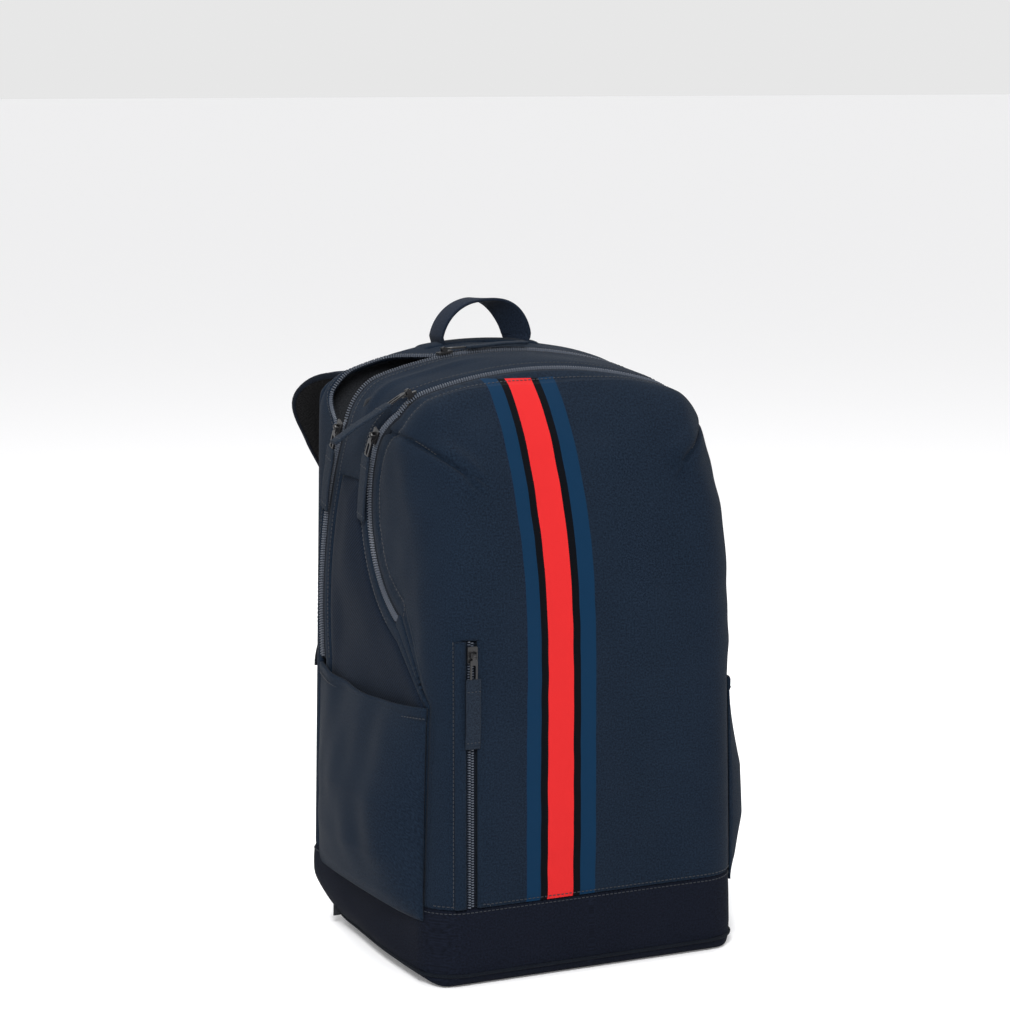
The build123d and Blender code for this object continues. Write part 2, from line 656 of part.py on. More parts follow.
def pull_link(plane):
    """Pressed metal link with an eye on the slider's pin."""
    with BuildPart() as link:
        with BuildSketch(Plane(origin=plane.origin, x_dir=plane.x_dir, z_dir=plane.y_dir * -1)):
            Circle(EYE_RADIUS)
            Rectangle(EAR_HALF + EYE_RADIUS + 1, LINK_THICK, align=(Align.MIN, Align.CENTER))
            Circle(PIN_RADIUS + PIN_PLAY, mode=Mode.SUBTRACT)
        extrude(amount=EYE_HALF, both=True)
        with BuildSketch(plane):
            with Locations(((EAR_HALF + EYE_RADIUS + LINK_LENGTH) / 2, 0)):
                RectangleRounded(LINK_LENGTH - EAR_HALF - EYE_RADIUS, LINK_WIDTH, 1.5)
            with Locations(((EAR_HALF + EYE_RADIUS + LINK_LENGTH) / 2, 0)):
                SlotOverall(LINK_LENGTH / 2, LINK_WIDTH / 2, mode=Mode.SUBTRACT)
        extrude(amount=LINK_THICK / 2, both=True)
    return link


def pull_tab(plane, swing):
    """Webbing tab at the link's end, swung in the plane of the fabric."""
    with BuildPart() as tab:
        with BuildSketch(plane):
            with Locations(Location((LINK_LENGTH, 0, 0), (0, 0, swing))):
                with Locations((TAB_LENGTH / 2 + 0.2 + TAB_WIDTH / 2 * sin(radians(abs(swing))), 0)):
                    Rectangle(TAB_LENGTH, TAB_WIDTH)
        extrude(amount=TAB_THICK / 2, both=True)
    return tab


FULL = (-PLATE_HALF, PLATE_HALF)
MAIN_UPPER_X = -107.0
MAIN_LOWER_ANGLE = 33.0
RACKET_TOP_X = -45.0
RACKET_SIDE_ANGLE = 29.5
POCKET_SLIDER_Z = 252.0
front_seat = Plane(origin=(POCKET_ZIP_X, FRONT_Y, POCKET_SLIDER_Z), x_dir=(0, 0, -1), z_dir=(0, -1, 0))
sliders = {
    "main_upper": (crown_seat(MAIN_UPPER_X, MAIN_ZIP_Y, -1), (-PLATE_HALF, POST_THICK / 2), 12.0, 0.0),
    "main_lower": (circle_seat(MAIN_C, MAIN_R, MAIN_LOWER_ANGLE), FULL, 2.2, 20.0),
    "racket_top": (crown_seat(RACKET_TOP_X, RACKET_ZIP_Y, 1), FULL, 6.0, 0.0),
    "racket_side": (circle_seat(RACKET_C, RACKET_R, RACKET_SIDE_ANGLE), FULL, 2.2, 12.0),
    "pocket": (front_seat, FULL, 2.0, 0.0),
}
for name, (seat, cover, droop, swing) in sliders.items():
    plane = pull_plane(seat, cover, droop)
    finished[f"{name}_slider"] = slider_body(seat, cover)
    finished[f"{name}_link"] = pull_link(plane)
    finished[f"{name}_tab"] = pull_tab(plane, swing)

for name, piece in finished.items():
    piece.part.label = name
    export_step(piece.part, f"parts/{name}.step")
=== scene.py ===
import math

import bpy
import numpy as np
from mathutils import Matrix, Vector
from mathutils.bvhtree import BVHTree


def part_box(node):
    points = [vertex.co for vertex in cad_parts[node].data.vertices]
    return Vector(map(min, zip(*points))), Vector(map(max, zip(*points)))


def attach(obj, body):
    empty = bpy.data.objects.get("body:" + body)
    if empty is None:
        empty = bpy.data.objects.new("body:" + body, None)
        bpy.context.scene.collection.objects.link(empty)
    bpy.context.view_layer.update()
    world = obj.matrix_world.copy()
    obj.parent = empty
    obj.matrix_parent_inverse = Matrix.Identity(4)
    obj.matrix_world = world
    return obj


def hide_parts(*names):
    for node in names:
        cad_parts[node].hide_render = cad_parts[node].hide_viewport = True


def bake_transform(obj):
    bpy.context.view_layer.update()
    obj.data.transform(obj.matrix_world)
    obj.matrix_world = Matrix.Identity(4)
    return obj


# A racket backpack.  Lengths in this script are millimetres in the row frame, and MM turns them
# into Blender's metres.  The bag's outer form is a distance function, its panels are cut from one
# fine mesh of that form along their seam lines, and each is crowned between its seams.

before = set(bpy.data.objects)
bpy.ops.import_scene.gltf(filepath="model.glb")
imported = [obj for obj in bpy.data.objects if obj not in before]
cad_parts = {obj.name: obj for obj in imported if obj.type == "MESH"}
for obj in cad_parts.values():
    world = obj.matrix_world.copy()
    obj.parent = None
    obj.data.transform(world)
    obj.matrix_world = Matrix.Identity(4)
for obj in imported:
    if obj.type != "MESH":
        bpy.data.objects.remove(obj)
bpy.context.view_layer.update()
MM = 0.001

# ---------------------------------------------------------------- sizes of the bag
FRONT_Y, BACK_Y = -122.0, 108.0
CROWN_RADIUS = 333.0
BOW_Z, BOW_RADIUS, BOW_ANGLE = 250.0, 300.0, math.radians(39.3)
HALF_WIDTH = 131.0               # at the foot of the front
SLUMP = (38.0, 72.0, 38.0)       # the base curves up behind this y, over this run, by this height
BASE_TOP = 60.0
MAIN = {"centre": (-94.6, 351.3), "radius": 92.8, "line": -32.0, "end": math.radians(-66.8)}
RACKET = {"centre": (-196.0, 262.3), "radius": 281.0, "line": 45.0, "end": math.radians(-9.9)}
FRONT_SEAM = ((-100.0, BASE_TOP), (-104.0, 212.0))
BACK_SEAM_Y = 96.0
TWILL_TOP = 364.0
TAPE = 4.6                       # tape left showing each side of a zip's middle
STRIP = 12.0                     # plain strip between a zip's tape and its stitched seam
MOUTH_OPEN = 37.0                # how far the racket zip's rear half lies back
POCKET_ZIP = (-99.0, 60.5, 262.0)
POCKET_SLOT = 6.5
AHEAD, BELOW, ROOF = -400.0, -60.0, 520.0   # clear of the bag, where side view outlines are closed
STEP = 4.0                       # size of the form's mesh
DART = ((123.0, 405.0), (88.0, 377.0))      # outer and inner end of a sewn dart, x and z
WEBBING = 25.0
STITCH = (2.5, 0.75, 0.6)
TOOTH = (1.05, 2.5, 1.8)
TOOTH_PITCH = 2.0


def half_width(y, z):
    return HALF_WIDTH + 0.0435 * (y - FRONT_Y) - 0.02 * z


def crown_z(y):
    return 449.0 + 0.096 * (y + 32.0)


def meet(a, b, r):
    """Distance to the inside of both a and b, their edge rounded to radius r."""
    return np.minimum(np.maximum(a, b), -r) + np.hypot(np.maximum(a + r, 0), np.maximum(b + r, 0))


def form(p):
    """Distance of points from the bag's outer form, negative inside."""
    x, y, z = p[:, 0], p[:, 1], p[:, 2]
    side = np.abs(x) - half_width(y, z)
    top = np.hypot(x, z - crown_z(y) + CROWN_RADIUS) - CROWN_RADIUS
    cy = FRONT_Y + BOW_RADIUS
    brow = (cy - BOW_RADIUS * math.cos(BOW_ANGLE), BOW_Z + BOW_RADIUS * math.sin(BOW_ANGLE))
    bow = np.hypot(y - cy, z - BOW_Z) - BOW_RADIUS
    slope = (z - brow[1]) * math.sin(BOW_ANGLE) - (y - brow[0]) * math.cos(BOW_ANGLE)
    front = np.where(z < BOW_Z, FRONT_Y - y, np.where(z < brow[1], bow, slope))
    slump = np.clip((y - SLUMP[0]) / SLUMP[1], 0, 0.97)
    back, bottom = y - BACK_Y, SLUMP[2] * (1 - np.sqrt(1 - slump ** 2)) - z
    foot = 15 + 17 * smooth(y, -70, 60)
    edges = ((side, front, 30), (side, back, 20), (side, top, 28), (top, back, 28), (top, front, 6),
             (side, bottom, foot), (back, bottom, 22), (front, bottom, 8))
    return np.max([meet(*edge) for edge in edges], axis=0)


def form_normal(p):
    steps = np.eye(3) * 0.5
    n = np.stack([form(p + s) - form(p - s) for s in steps], axis=1)
    return n / np.maximum(np.linalg.norm(n, axis=1), 1e-9)[:, None]


def smooth(value, low, high):
    t = np.clip((value - low) / (high - low), 0, 1)
    return t * t * (3 - 2 * t)


def ripples(p, seed, length, count=9):
    """Soft random waves about length long, between about -1 and 1."""
    rng = np.random.default_rng(seed)
    k = rng.normal(size=(count, 3))
    k = k / np.linalg.norm(k, axis=1)[:, None] * rng.uniform(0.6, 1.6, (count, 1)) * 2 * np.pi / length
    return np.sin(p @ k.T + rng.uniform(0, 6.28, count)).sum(1) / math.sqrt(count)


# ---------------------------------------------------------------- seam lines, in the side view
def zip_points(line, shift, count=36):
    """A zip's line seen from the side, from its lower end to above the roof, moved back by shift."""
    (cy, cz), r = line["centre"], line["radius"] + shift
    angles = np.linspace(line["end"], math.acos((line["line"] + shift - cy) / r), count)
    arc = np.stack([cy + r * np.cos(angles), cz + r * np.sin(angles)], axis=1)
    return [tuple(q) for q in arc] + [(line["line"] + shift, ROOF)]


def polygon_distance(y, z, corners):
    """Signed distance in the side view, negative inside the polygon."""
    corners = np.array(corners)
    best, inside = np.full(len(y), 1e9), np.zeros(len(y), bool)
    for (ay, az), (by, bz) in zip(corners, np.roll(corners, -1, axis=0)):
        ey, ez = by - ay, bz - az
        t = np.clip(((y - ay) * ey + (z - az) * ez) / max(ey * ey + ez * ez, 1e-9), 0, 1)
        best = np.minimum(best, np.hypot(y - ay - t * ey, z - az - t * ez))
        if ez != 0:
            inside ^= ((az > z) != (bz > z)) & (y < ay + (z - az) * ey / ez)
    return np.where(inside, -best, best)


def in_front_of_main(p, shift):
    corners = [(AHEAD, BELOW), (FRONT_SEAM[0][0], BELOW), *FRONT_SEAM, *zip_points(MAIN, shift),
               (AHEAD, ROOF)]
    return polygon_distance(p[:, 1], p[:, 2], corners)


def mouth_opening(p):
    """How far open the racket compartment stands, 0 to 1."""
    return smooth(p[:, 2], 388, 428) * smooth(-p[:, 0], 42, 84)


def in_front_of_racket(p, shift, opened=False):
    points = zip_points(RACKET, shift)
    corners = [(AHEAD, BELOW), (points[0][0], BELOW), *points, (AHEAD, ROOF)]
    y = p[:, 1] - (MOUTH_OPEN * mouth_opening(p) if opened else 0)
    return polygon_distance(y, p[:, 2], corners)


def tape_band(p, line, near, far, opened=False):
    """Distance from the band of tape between two shifts of a zip's line."""
    corners = zip_points(line, near) + zip_points(line, far)[::-1]
    y = p[:, 1] - (MOUTH_OPEN * mouth_opening(p) if opened else 0)
    return polygon_distance(y, p[:, 2], corners)


# ---------------------------------------------------------------- meshes
def unit(v):
    return v / np.maximum(np.linalg.norm(v, axis=-1, keepdims=True), 1e-9)


def grid_quads(rows, cols):
    """The quads of a grid of points."""
    index = np.arange(rows * cols).reshape(rows, cols)
    corners = [index[:-1, :-1], index[1:, :-1], index[1:, 1:], index[:-1, 1:]]
    return np.stack(corners, axis=-1).reshape(-1, 4)


def halved(quads):
    """Two triangles for each quad."""
    return np.concatenate([quads[:, [0, 1, 2]], quads[:, [0, 2, 3]]])


def bag_mesh():
    """A fine mesh of the bag's outer form, as points and triangles."""
    low, high = np.array([-150.0, -126.0, -4.0]), np.array([150.0, 112.0, 464.0])
    points, quads, start = [], [], 0
    for axis in range(3):
        u, v = (axis + 1) % 3, (axis + 2) % 3
        nu, nv = (int(round((high[k] - low[k]) / STEP)) + 1 for k in (u, v))
        for end in (low, high):
            grid = np.zeros((nu, nv, 3))
            grid[..., axis] = end[axis]
            grid[..., u] = np.linspace(low[u], high[u], nu)[:, None]
            grid[..., v] = np.linspace(low[v], high[v], nv)[None, :]
            q = grid_quads(nu, nv) + start
            quads.append(q if end is high else q[:, ::-1])
            points.append(grid.reshape(-1, 3))
            start += nu * nv
    points, quads = np.concatenate(points), np.concatenate(quads)
    _, first, same = np.unique(np.round(points, 2), axis=0, return_index=True, return_inverse=True)
    points, quads = points[first], same.reshape(-1)[quads]
    core = np.clip(points, (-92, -68, 36), (92, 68, 392))
    near, far = np.zeros(len(points)), np.ones(len(points))
    for _ in range(22):
        middle = (near + far) / 2
        outside = form(core + (points - core) * middle[:, None]) > 0
        near, far = np.where(outside, near, middle), np.where(outside, middle, far)
    points = core + (points - core) * far[:, None]
    tris = halved(quads)
    edges = np.concatenate([quads[:, [a, b]] for a, b in ((0, 1), (1, 2), (2, 3), (3, 0))])
    for _ in range(3):
        total, count = np.zeros_like(points), np.zeros(len(points))
        np.add.at(total, edges[:, 0], points[edges[:, 1]])
        np.add.at(total, edges[:, 1], points[edges[:, 0]])
        np.add.at(count, edges[:, 0], 1)
        np.add.at(count, edges[:, 1], 1)
        points = points + 0.5 * (total / count[:, None] - points)
    return np.hstack([points, mesh_normals(points, tris)]), tris


def split(mesh, value, both=False):
    """The mesh where value is below zero, cut across its triangles; both keeps the other side too."""
    points, tris = mesh
    inside = value < 0
    count = inside[tris].sum(1)
    kept = [tris[(count == 3) | (count == 0)] if both else tris[count == 3]]
    new_points = [points]
    crossing = (count == 1) | (count == 2)
    t, c = tris[crossing], count[crossing]
    if len(t):
        flags = inside[t]
        odd = np.where(c == 1, flags.argmax(1), (~flags).argmax(1))
        a, b, d = (t[np.arange(len(t)), (odd + k) % 3] for k in range(3))
        pairs = np.sort(np.concatenate([np.stack([a, b], 1), np.stack([a, d], 1)]), axis=1)
        unique, where = np.unique(pairs, axis=0, return_inverse=True)
        where = where.reshape(-1) + len(points)
        va, vb = value[unique[:, 0]], value[unique[:, 1]]
        s = (va / (va - vb))[:, None]
        new_points.append(points[unique[:, 0]] * (1 - s) + points[unique[:, 1]] * s)
        ab, ad = where[:len(t)], where[len(t):]
        tip = np.stack([a, ab, ad], 1)
        rest = np.stack([np.stack([ab, b, d], 1), np.stack([ab, d, ad], 1)], 1)
        if both:
            kept += [tip, rest.reshape(-1, 3)]
        else:
            kept += [tip[c == 1], rest[c == 2].reshape(-1, 3)]
    tris = np.concatenate(kept)
    used, tris = np.unique(tris, return_inverse=True)
    return np.concatenate(new_points)[used], tris.reshape(-1, 3)


def add_mesh(name, points, faces, materials, uv=None, index=None, flat=False):
    """A Blender mesh from points in millimetres."""
    mesh = bpy.data.meshes.new(name)
    mesh.from_pydata((np.asarray(points) * MM).tolist(), [], [list(map(int, f)) for f in faces])
    for material in materials:
        mesh.materials.append(material)
    if index is not None:
        mesh.polygons.foreach_set("material_index", np.asarray(index, np.int32))
    if not flat:
        mesh.polygons.foreach_set("use_smooth", np.ones(len(mesh.polygons), bool))
    if uv is not None:
        layer = mesh.uv_layers.new(name="cloth")
        loops = np.zeros(len(mesh.loops), np.int32)
        mesh.loops.foreach_get("vertex_index", loops)
        layer.data.foreach_set("uv", np.asarray(uv, np.float32)[loops].ravel())
    mesh.update()
    piece = bpy.data.objects.new(name, mesh)
    bpy.context.scene.collection.objects.link(piece)
    return piece


def thick_sheet(name, points, tris, normals, thickness, materials, uv):
    """A closed mesh: the outer face, its lining thickness below it and the rim between them."""
    n = len(points)
    lower = points - normals * thickness
    edges = np.concatenate([tris[:, [0, 1]], tris[:, [1, 2]], tris[:, [2, 0]]])
    keys = {tuple(e) for e in edges.tolist()}
    rim = np.array([e for e in keys if (e[1], e[0]) not in keys]).reshape(-1, 2)
    side = np.concatenate([np.stack([rim[:, 1], rim[:, 0], rim[:, 0] + n], 1),
                           np.stack([rim[:, 1], rim[:, 0] + n, rim[:, 1] + n], 1)])
    faces = np.concatenate([tris, tris[:, ::-1] + n, side])
    index = np.concatenate([np.zeros(len(tris)), np.ones(len(tris)), np.zeros(len(side))])
    if len(materials) < 2:
        index[:] = 0
    return add_mesh(name, np.concatenate([points, lower]), faces, materials, np.concatenate([uv, uv]), index)


def mesh_normals(points, tris):
    face = np.cross(points[tris[:, 1]] - points[tris[:, 0]], points[tris[:, 2]] - points[tris[:, 0]])
    normals = np.zeros_like(points)
    for k in range(3):
        np.add.at(normals, tris[:, k], face)
    return normals / np.maximum(np.linalg.norm(normals, axis=1), 1e-9)[:, None]


def fasten(piece, body, slot_name=None, *nodes):
    """Fix a piece to its body, in place of the CAD nodes it stands for; slot_name is not used."""
    if body == "flap":
        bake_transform(piece)
    else:
        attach(piece, body)
    if nodes:
        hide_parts(*nodes)


def front_uv(p):
    """Cloth coordinates of the front and back, following the fabric round the corners."""
    far = np.where(p[:, 1] < 0, p[:, 1] - FRONT_Y, BACK_Y - p[:, 1])
    return np.stack([p[:, 0] + np.sign(p[:, 0]) * smooth(np.abs(p[:, 0]), 100, 128) * far, p[:, 2]], 1)


def side_uv(p):
    return np.stack([p[:, 1], p[:, 2] + HALF_WIDTH - np.abs(p[:, 0])], 1)


def base_uv(p):
    return np.stack([p[:, 1] + HALF_WIDTH - np.abs(p[:, 0]), p[:, 2]], 1)


def seam_profile(depth, crown, dip=1.5):
    """Height of a panel above the form, depth mm in from its seam."""
    return crown * (1 - np.exp(-depth / 24)) - dip * np.exp(-depth / 2.0)


def panel(name, inside, height, materials, uv, thickness=3.0, rings=(1.2, 3.0, 6.5), extra=()):
    """A fabric panel of the bag: where inside is below zero, raised by height."""
    mesh = split(BAG, inside(BAG[0][:, :3]))
    for ring in rings:
        mesh = split(mesh, inside(mesh[0][:, :3]) + ring, both=True)
    for level in extra:
        mesh = split(mesh, level(mesh[0][:, :3]), both=True)
    points, normals, tris = mesh[0][:, :3], unit(mesh[0][:, 3:]), mesh[1]
    raised = points + normals * height(points, -inside(points))[:, None]
    return thick_sheet(name, raised, tris, normals, thickness, materials, uv(points))


def lengths(points):
    """How far along a line each of its points is."""
    return np.concatenate([[0], np.cumsum(np.linalg.norm(np.diff(points, axis=0), axis=1))])


def sweep(name, path, wide, out, section, materials, closed_ends=True):
    """A closed section carried along a path; wide and out are its two directions at each point."""
    k = len(section)
    section = np.array(section)
    points = (path[:, None, :] + section[None, :, :1] * wide[:, None, :]
              + section[None, :, 1:2] * out[:, None, :]).reshape(-1, 3)
    uv = np.stack(np.broadcast_arrays(lengths(section)[None, :], lengths(path)[:, None]), -1).reshape(-1, 2)
    faces = []
    for i in range(len(path) - 1):
        for j in range(k):
            a, b = i * k + j, i * k + (j + 1) % k
            faces.append((a, b, b + k, a + k))
    if closed_ends:
        faces += [tuple(range(k))[::-1], tuple(range((len(path) - 1) * k, len(path) * k))]
    return add_mesh(name, points, faces, materials, uv)


def boxes(name, centres, along, across, up, size, material):
    """Many small boxes in one mesh, such as stitches or zip teeth, with their top edges drawn in."""
    ring = ((-0.5, -0.5), (0.5, -0.5), (0.5, 0.5), (-0.5, 0.5))
    corners = np.array([(x, y, z) for z in (-0.5, 0.5) for x, y in ring])
    corners[4:, :2] *= 0.62
    local = corners * np.array(size)
    points = (centres[:, None, :] + local[None, :, :1] * along[:, None, :]
              + local[None, :, 1:2] * across[:, None, :] + local[None, :, 2:] * up[:, None, :]).reshape(-1, 3)
    faces = np.array([(0, 3, 2, 1), (4, 5, 6, 7), (0, 1, 5, 4), (1, 2, 6, 5), (2, 3, 7, 6), (3, 0, 4, 7)])
    faces = (faces[None] + 8 * np.arange(len(centres))[:, None, None]).reshape(-1, 4)
    return add_mesh(name, points, faces, [material], flat=True)


def evenly(points, spacing):
    """Points of a line again, spacing apart."""
    along = lengths(points)
    at = np.arange(spacing / 2, along[-1], spacing)
    return np.stack([np.interp(at, along, points[:, k]) for k in range(3)], 1)


# ---------------------------------------------------------------- materials
def principled(name, colour, roughness, metallic=0.0):
    material = bpy.data.materials.new(name)
    material.use_nodes = True
    shader = material.node_tree.nodes["Principled BSDF"]
    shader.inputs["Base Color"].default_value = (*colour, 1)
    shader.inputs["Roughness"].default_value = roughness
    shader.inputs["Metallic"].default_value = metallic
    return material, material.node_tree, shader


def node(tree, kind, **settings):
    made = tree.nodes.new(kind)
    for key, value in settings.items():
        if key in made.inputs:
            made.inputs[key].default_value = value
        else:
            setattr(made, key, value)
    return made


def mix(tree, factor, a, b):
    """Colour a turning into b by factor; each is a socket or a colour."""
    made = node(tree, "ShaderNodeMix", data_type="RGBA")
    for socket, value in ((made.inputs[0], factor), (made.inputs[6], a), (made.inputs[7], b)):
        if isinstance(value, bpy.types.NodeSocket):
            tree.links.new(value, socket)
        else:
            socket.default_value = value if isinstance(value, (int, float)) else (*value, 1)
    return made.outputs[2]


def maths(tree, kind, a, b=0.0):
    made = node(tree, "ShaderNodeMath", operation=kind)
    for socket, value in ((made.inputs[0], a), (made.inputs[1], b)):
        if isinstance(value, bpy.types.NodeSocket):
            tree.links.new(value, socket)
        else:
            socket.default_value = value
    return made.outputs[0]


def cloth(name, dark, light, pitch=1.0, twill=False, relief=0.45, sheen=0.02, roughness=0.9, bands=()):
    """Woven fabric: crossing threads, heathered colour, slight wear and printed bands across u."""
    material, tree, shader = principled(name, dark, roughness)
    place = node(tree, "ShaderNodeUVMap", uv_map="cloth")
    split_uv = node(tree, "ShaderNodeSeparateXYZ")
    tree.links.new(place.outputs["UV"], split_uv.inputs[0])
    u, v = split_uv.outputs["X"], split_uv.outputs["Y"]
    turn = 2 * math.pi / pitch

    def times(a, b):
        return maths(tree, "MULTIPLY", a, b)

    def plus(a, b):
        return maths(tree, "ADD", a, b)

    if twill:
        threads = maths(tree, "SINE", times(plus(u, v), turn / 2.2))
    else:
        threads = times(maths(tree, "SINE", times(u, turn)), maths(tree, "SINE", times(v, turn)))
    threads = plus(times(threads, 0.5), 0.5)
    grain = node(tree, "ShaderNodeTexNoise", Scale=0.75, Detail=3.0, Roughness=0.7)
    tree.links.new(place.outputs["UV"], grain.inputs["Vector"])
    wear = node(tree, "ShaderNodeTexNoise", Scale=0.02, Detail=4.0)
    tree.links.new(place.outputs["UV"], wear.inputs["Vector"])
    heather = plus(times(grain.outputs["Fac"], 5.0), -2.0)
    colour = mix(tree, plus(times(threads, 0.3), times(heather, 0.7)), dark, light)
    faded = times(wear.outputs["Fac"], 0.22)
    colour = mix(tree, faded, colour, [min(1, c * 1.5 + 0.003) for c in light])
    for low, high, band in bands:
        within = times(maths(tree, "GREATER_THAN", u, low), maths(tree, "LESS_THAN", u, high))
        within = times(within, maths(tree, "LESS_THAN", v, BAND_TOP))
        colour = mix(tree, within, colour, band)
    tree.links.new(colour, shader.inputs["Base Color"])
    shader.inputs["Sheen Weight"].default_value = sheen
    shader.inputs["Sheen Roughness"].default_value = 0.45
    shader.inputs["Specular IOR Level"].default_value = 0.05
    height = plus(threads, times(grain.outputs["Fac"], 0.8))
    bump = node(tree, "ShaderNodeBump", Strength=relief, Distance=0.0003)
    tree.links.new(height, bump.inputs["Height"])
    tree.links.new(bump.outputs["Normal"], shader.inputs["Normal"])
    return material


def hard(name, colour, roughness, metallic=0.0):
    """Moulded plastic or lacquered metal with fine scuffs."""
    material, tree, shader = principled(name, colour, roughness, metallic)
    place = node(tree, "ShaderNodeTexCoord")
    scuffs = node(tree, "ShaderNodeTexNoise", Scale=400.0, Detail=4.0)
    tree.links.new(place.outputs["Object"], scuffs.inputs["Vector"])
    rough = maths(tree, "ADD", maths(tree, "MULTIPLY", scuffs.outputs["Fac"], 0.25), roughness - 0.12)
    tree.links.new(rough, shader.inputs["Roughness"])
    return material


NAVY_DARK, NAVY = (0.0010, 0.0027, 0.0064), (0.0062, 0.0122, 0.0225)
STRIPE_X = -26.5
BAND_TOP = 444.0
RED, LINE, BLUE = (0.40, 0.014, 0.015), (0.0010, 0.0014, 0.0024), (0.0022, 0.0160, 0.0400)
STRIPES = [(STRIPE_X - 28.0, STRIPE_X + 29.0, BLUE), (STRIPE_X - 16.5, STRIPE_X + 16.5, LINE),
           (STRIPE_X - 10.6, STRIPE_X + 10.6, RED)]
face = cloth("face_fabric", NAVY_DARK, NAVY)
printed = cloth("printed_face", NAVY_DARK, NAVY, bands=STRIPES)
twill = cloth("side_twill", (0.0010, 0.0022, 0.0050), (0.0050, 0.0092, 0.0180), pitch=1.3, twill=True,
              relief=0.5)
base_cloth = cloth("base_fabric", (0.0010, 0.0015, 0.0032), (0.0046, 0.0064, 0.0125), sheen=0.0)
dark_cloth = cloth("piping", (0.0015, 0.0022, 0.0040), (0.0050, 0.0070, 0.0110))
tape_cloth = cloth("zip_tape", (0.0012, 0.0020, 0.0040), (0.0046, 0.0076, 0.0130), pitch=0.8)
lining_cloth = cloth("lining", (0.0100, 0.0110, 0.0130), (0.0260, 0.0280, 0.0320), relief=0.15)
mesh_cloth = cloth("spacer_mesh", (0.0006, 0.0006, 0.0007), (0.0075, 0.0075, 0.0080), pitch=2.6, relief=1.0,
                   sheen=0.0)
strap_cloth = cloth("strap_fabric", NAVY_DARK, NAVY)
webbing_cloth = cloth("webbing", (0.0026, 0.0044, 0.0088), (0.0100, 0.0155, 0.0270), pitch=1.9, relief=0.8)
tab_cloth = cloth("pull_webbing", (0.0030, 0.0048, 0.0085), (0.0120, 0.0180, 0.0280), pitch=1.2, relief=0.7)
thread_mat, _, _ = principled("thread", (0.0045, 0.0070, 0.0120), 0.7)
teeth_mat = hard("zip_coil", (0.050, 0.060, 0.080), 0.4)
metal_mat = hard("zip_metal", (0.006, 0.006, 0.007), 0.36, 0.2)
buckle_mat = hard("buckle_plastic", (0.010, 0.010, 0.011), 0.45)

BAG = bag_mesh()


# ---------------------------------------------------------------- panels
def fabric(name, inside, height, cloth_material, uv, slot_name, nodes, fill, **more):
    """A lined, padded panel of the bag, fixed to root."""
    piece = panel(name, inside, height, [cloth_material, lining_cloth], uv, **more)
    fasten(piece, "root", slot_name, *nodes)
    return piece


def dart(p, side):
    """Distance from one of the two sewn darts, and how far along it a point is, 0 at the edge."""
    start, end = (np.array([side * x, z]) for x, z in DART)
    run = end - start
    q = np.stack([p[:, 0], p[:, 2]], 1) - start
    t = q @ run / (run @ run)
    across = (q[:, 0] * run[1] - q[:, 1] * run[0]) / np.linalg.norm(run) * -side
    return across, t


def front_inside(p):
    x, _, high = POCKET_ZIP
    slot = np.maximum(np.abs(p[:, 0] - x) - POCKET_SLOT, p[:, 2] - high)
    slot = np.where(p[:, 1] < 0, slot, 99.0)
    return np.maximum.reduce([in_front_of_main(p, -TAPE), BASE_TOP - p[:, 2], -slot])


def front_height(p, depth):
    inner = -in_front_of_main(p, -TAPE - STRIP)
    high = smooth(p[:, 2], 205, 250)
    h = seam_profile(depth, 0.0, 1.4)
    h += 3.2 * (1 - np.exp(-np.maximum(inner, 0) / 26)) - 1.3 * high * np.exp(-(inner / 1.7) ** 2)
    h += 1.1 * ripples(p, 3, 120.0) * smooth(depth, 4, 30) + 0.35 * ripples(p, 4, 38.0) * smooth(depth, 4, 20)
    for side in (-1, 1):
        across, t = dart(p, side)
        along = smooth(t, -0.25, 0.1) * (1 - smooth(t, 0.85, 1.25)) * smooth(p[:, 0] * side, 20, 60)
        h -= 3.6 * np.exp(-(across / 1.9) ** 2) * along
        h += 3.6 * np.exp(-((across + 7) / 6.0) ** 2) * along * smooth(t, 0.1, 0.9)
        h += 2.0 * np.exp(-((across - 6) / 6.0) ** 2) * along * smooth(t, 0.0, 0.7)
        pucker = np.exp(-((t - 1.1) / 0.16) ** 2) * np.exp(-(across / 11.0) ** 2)
        h += 1.8 * np.cos(across * 0.85) * (pucker * smooth(p[:, 0] * side, 20, 60))
    return h


def strip_edge(p):
    return in_front_of_main(p, -TAPE - STRIP) + 5.0


def dart_level(side, offset):
    return lambda p: np.where(p[:, 1] < -20, dart(p, side)[0] + offset, 9)


# the strip's four cuts are all at one level, where four were meant; the repeats mostly add slivers
cuts = [strip_edge] * 4 + [dart_level(side, offset) for side in (-1, 1) for offset in (-3, -1.4, 0, 1.4, 3)]
front = panel("front", front_inside, front_height, [printed, lining_cloth], front_uv, extra=cuts)
fasten(front, "flap", "face_fabric", "front_panel", "front_flap")


def twill_edge(p):
    """Distance from the outline of the twill side panels."""
    ahead, behind = zip_points(MAIN, TAPE + STRIP), zip_points(RACKET, -TAPE - STRIP)
    corners = [(FRONT_SEAM[0][0] + 2, BASE_TOP), (FRONT_SEAM[1][0] + 3, 208.0)]
    corners += [q for q in ahead[:-1] if q[1] < TWILL_TOP]
    corners += [(min(line, key=lambda q: abs(q[1] - TWILL_TOP))[0], TWILL_TOP) for line in (ahead, behind)]
    corners += [q for q in behind[::-1] if q[1] < TWILL_TOP] + [(behind[0][0], BASE_TOP)]
    return polygon_distance(p[:, 1], p[:, 2], corners)


def gusset_inside(p):
    return np.maximum.reduce([-in_front_of_main(p, TAPE), in_front_of_racket(p, -TAPE), BASE_TOP - p[:, 2],
                              -twill_edge(p)])


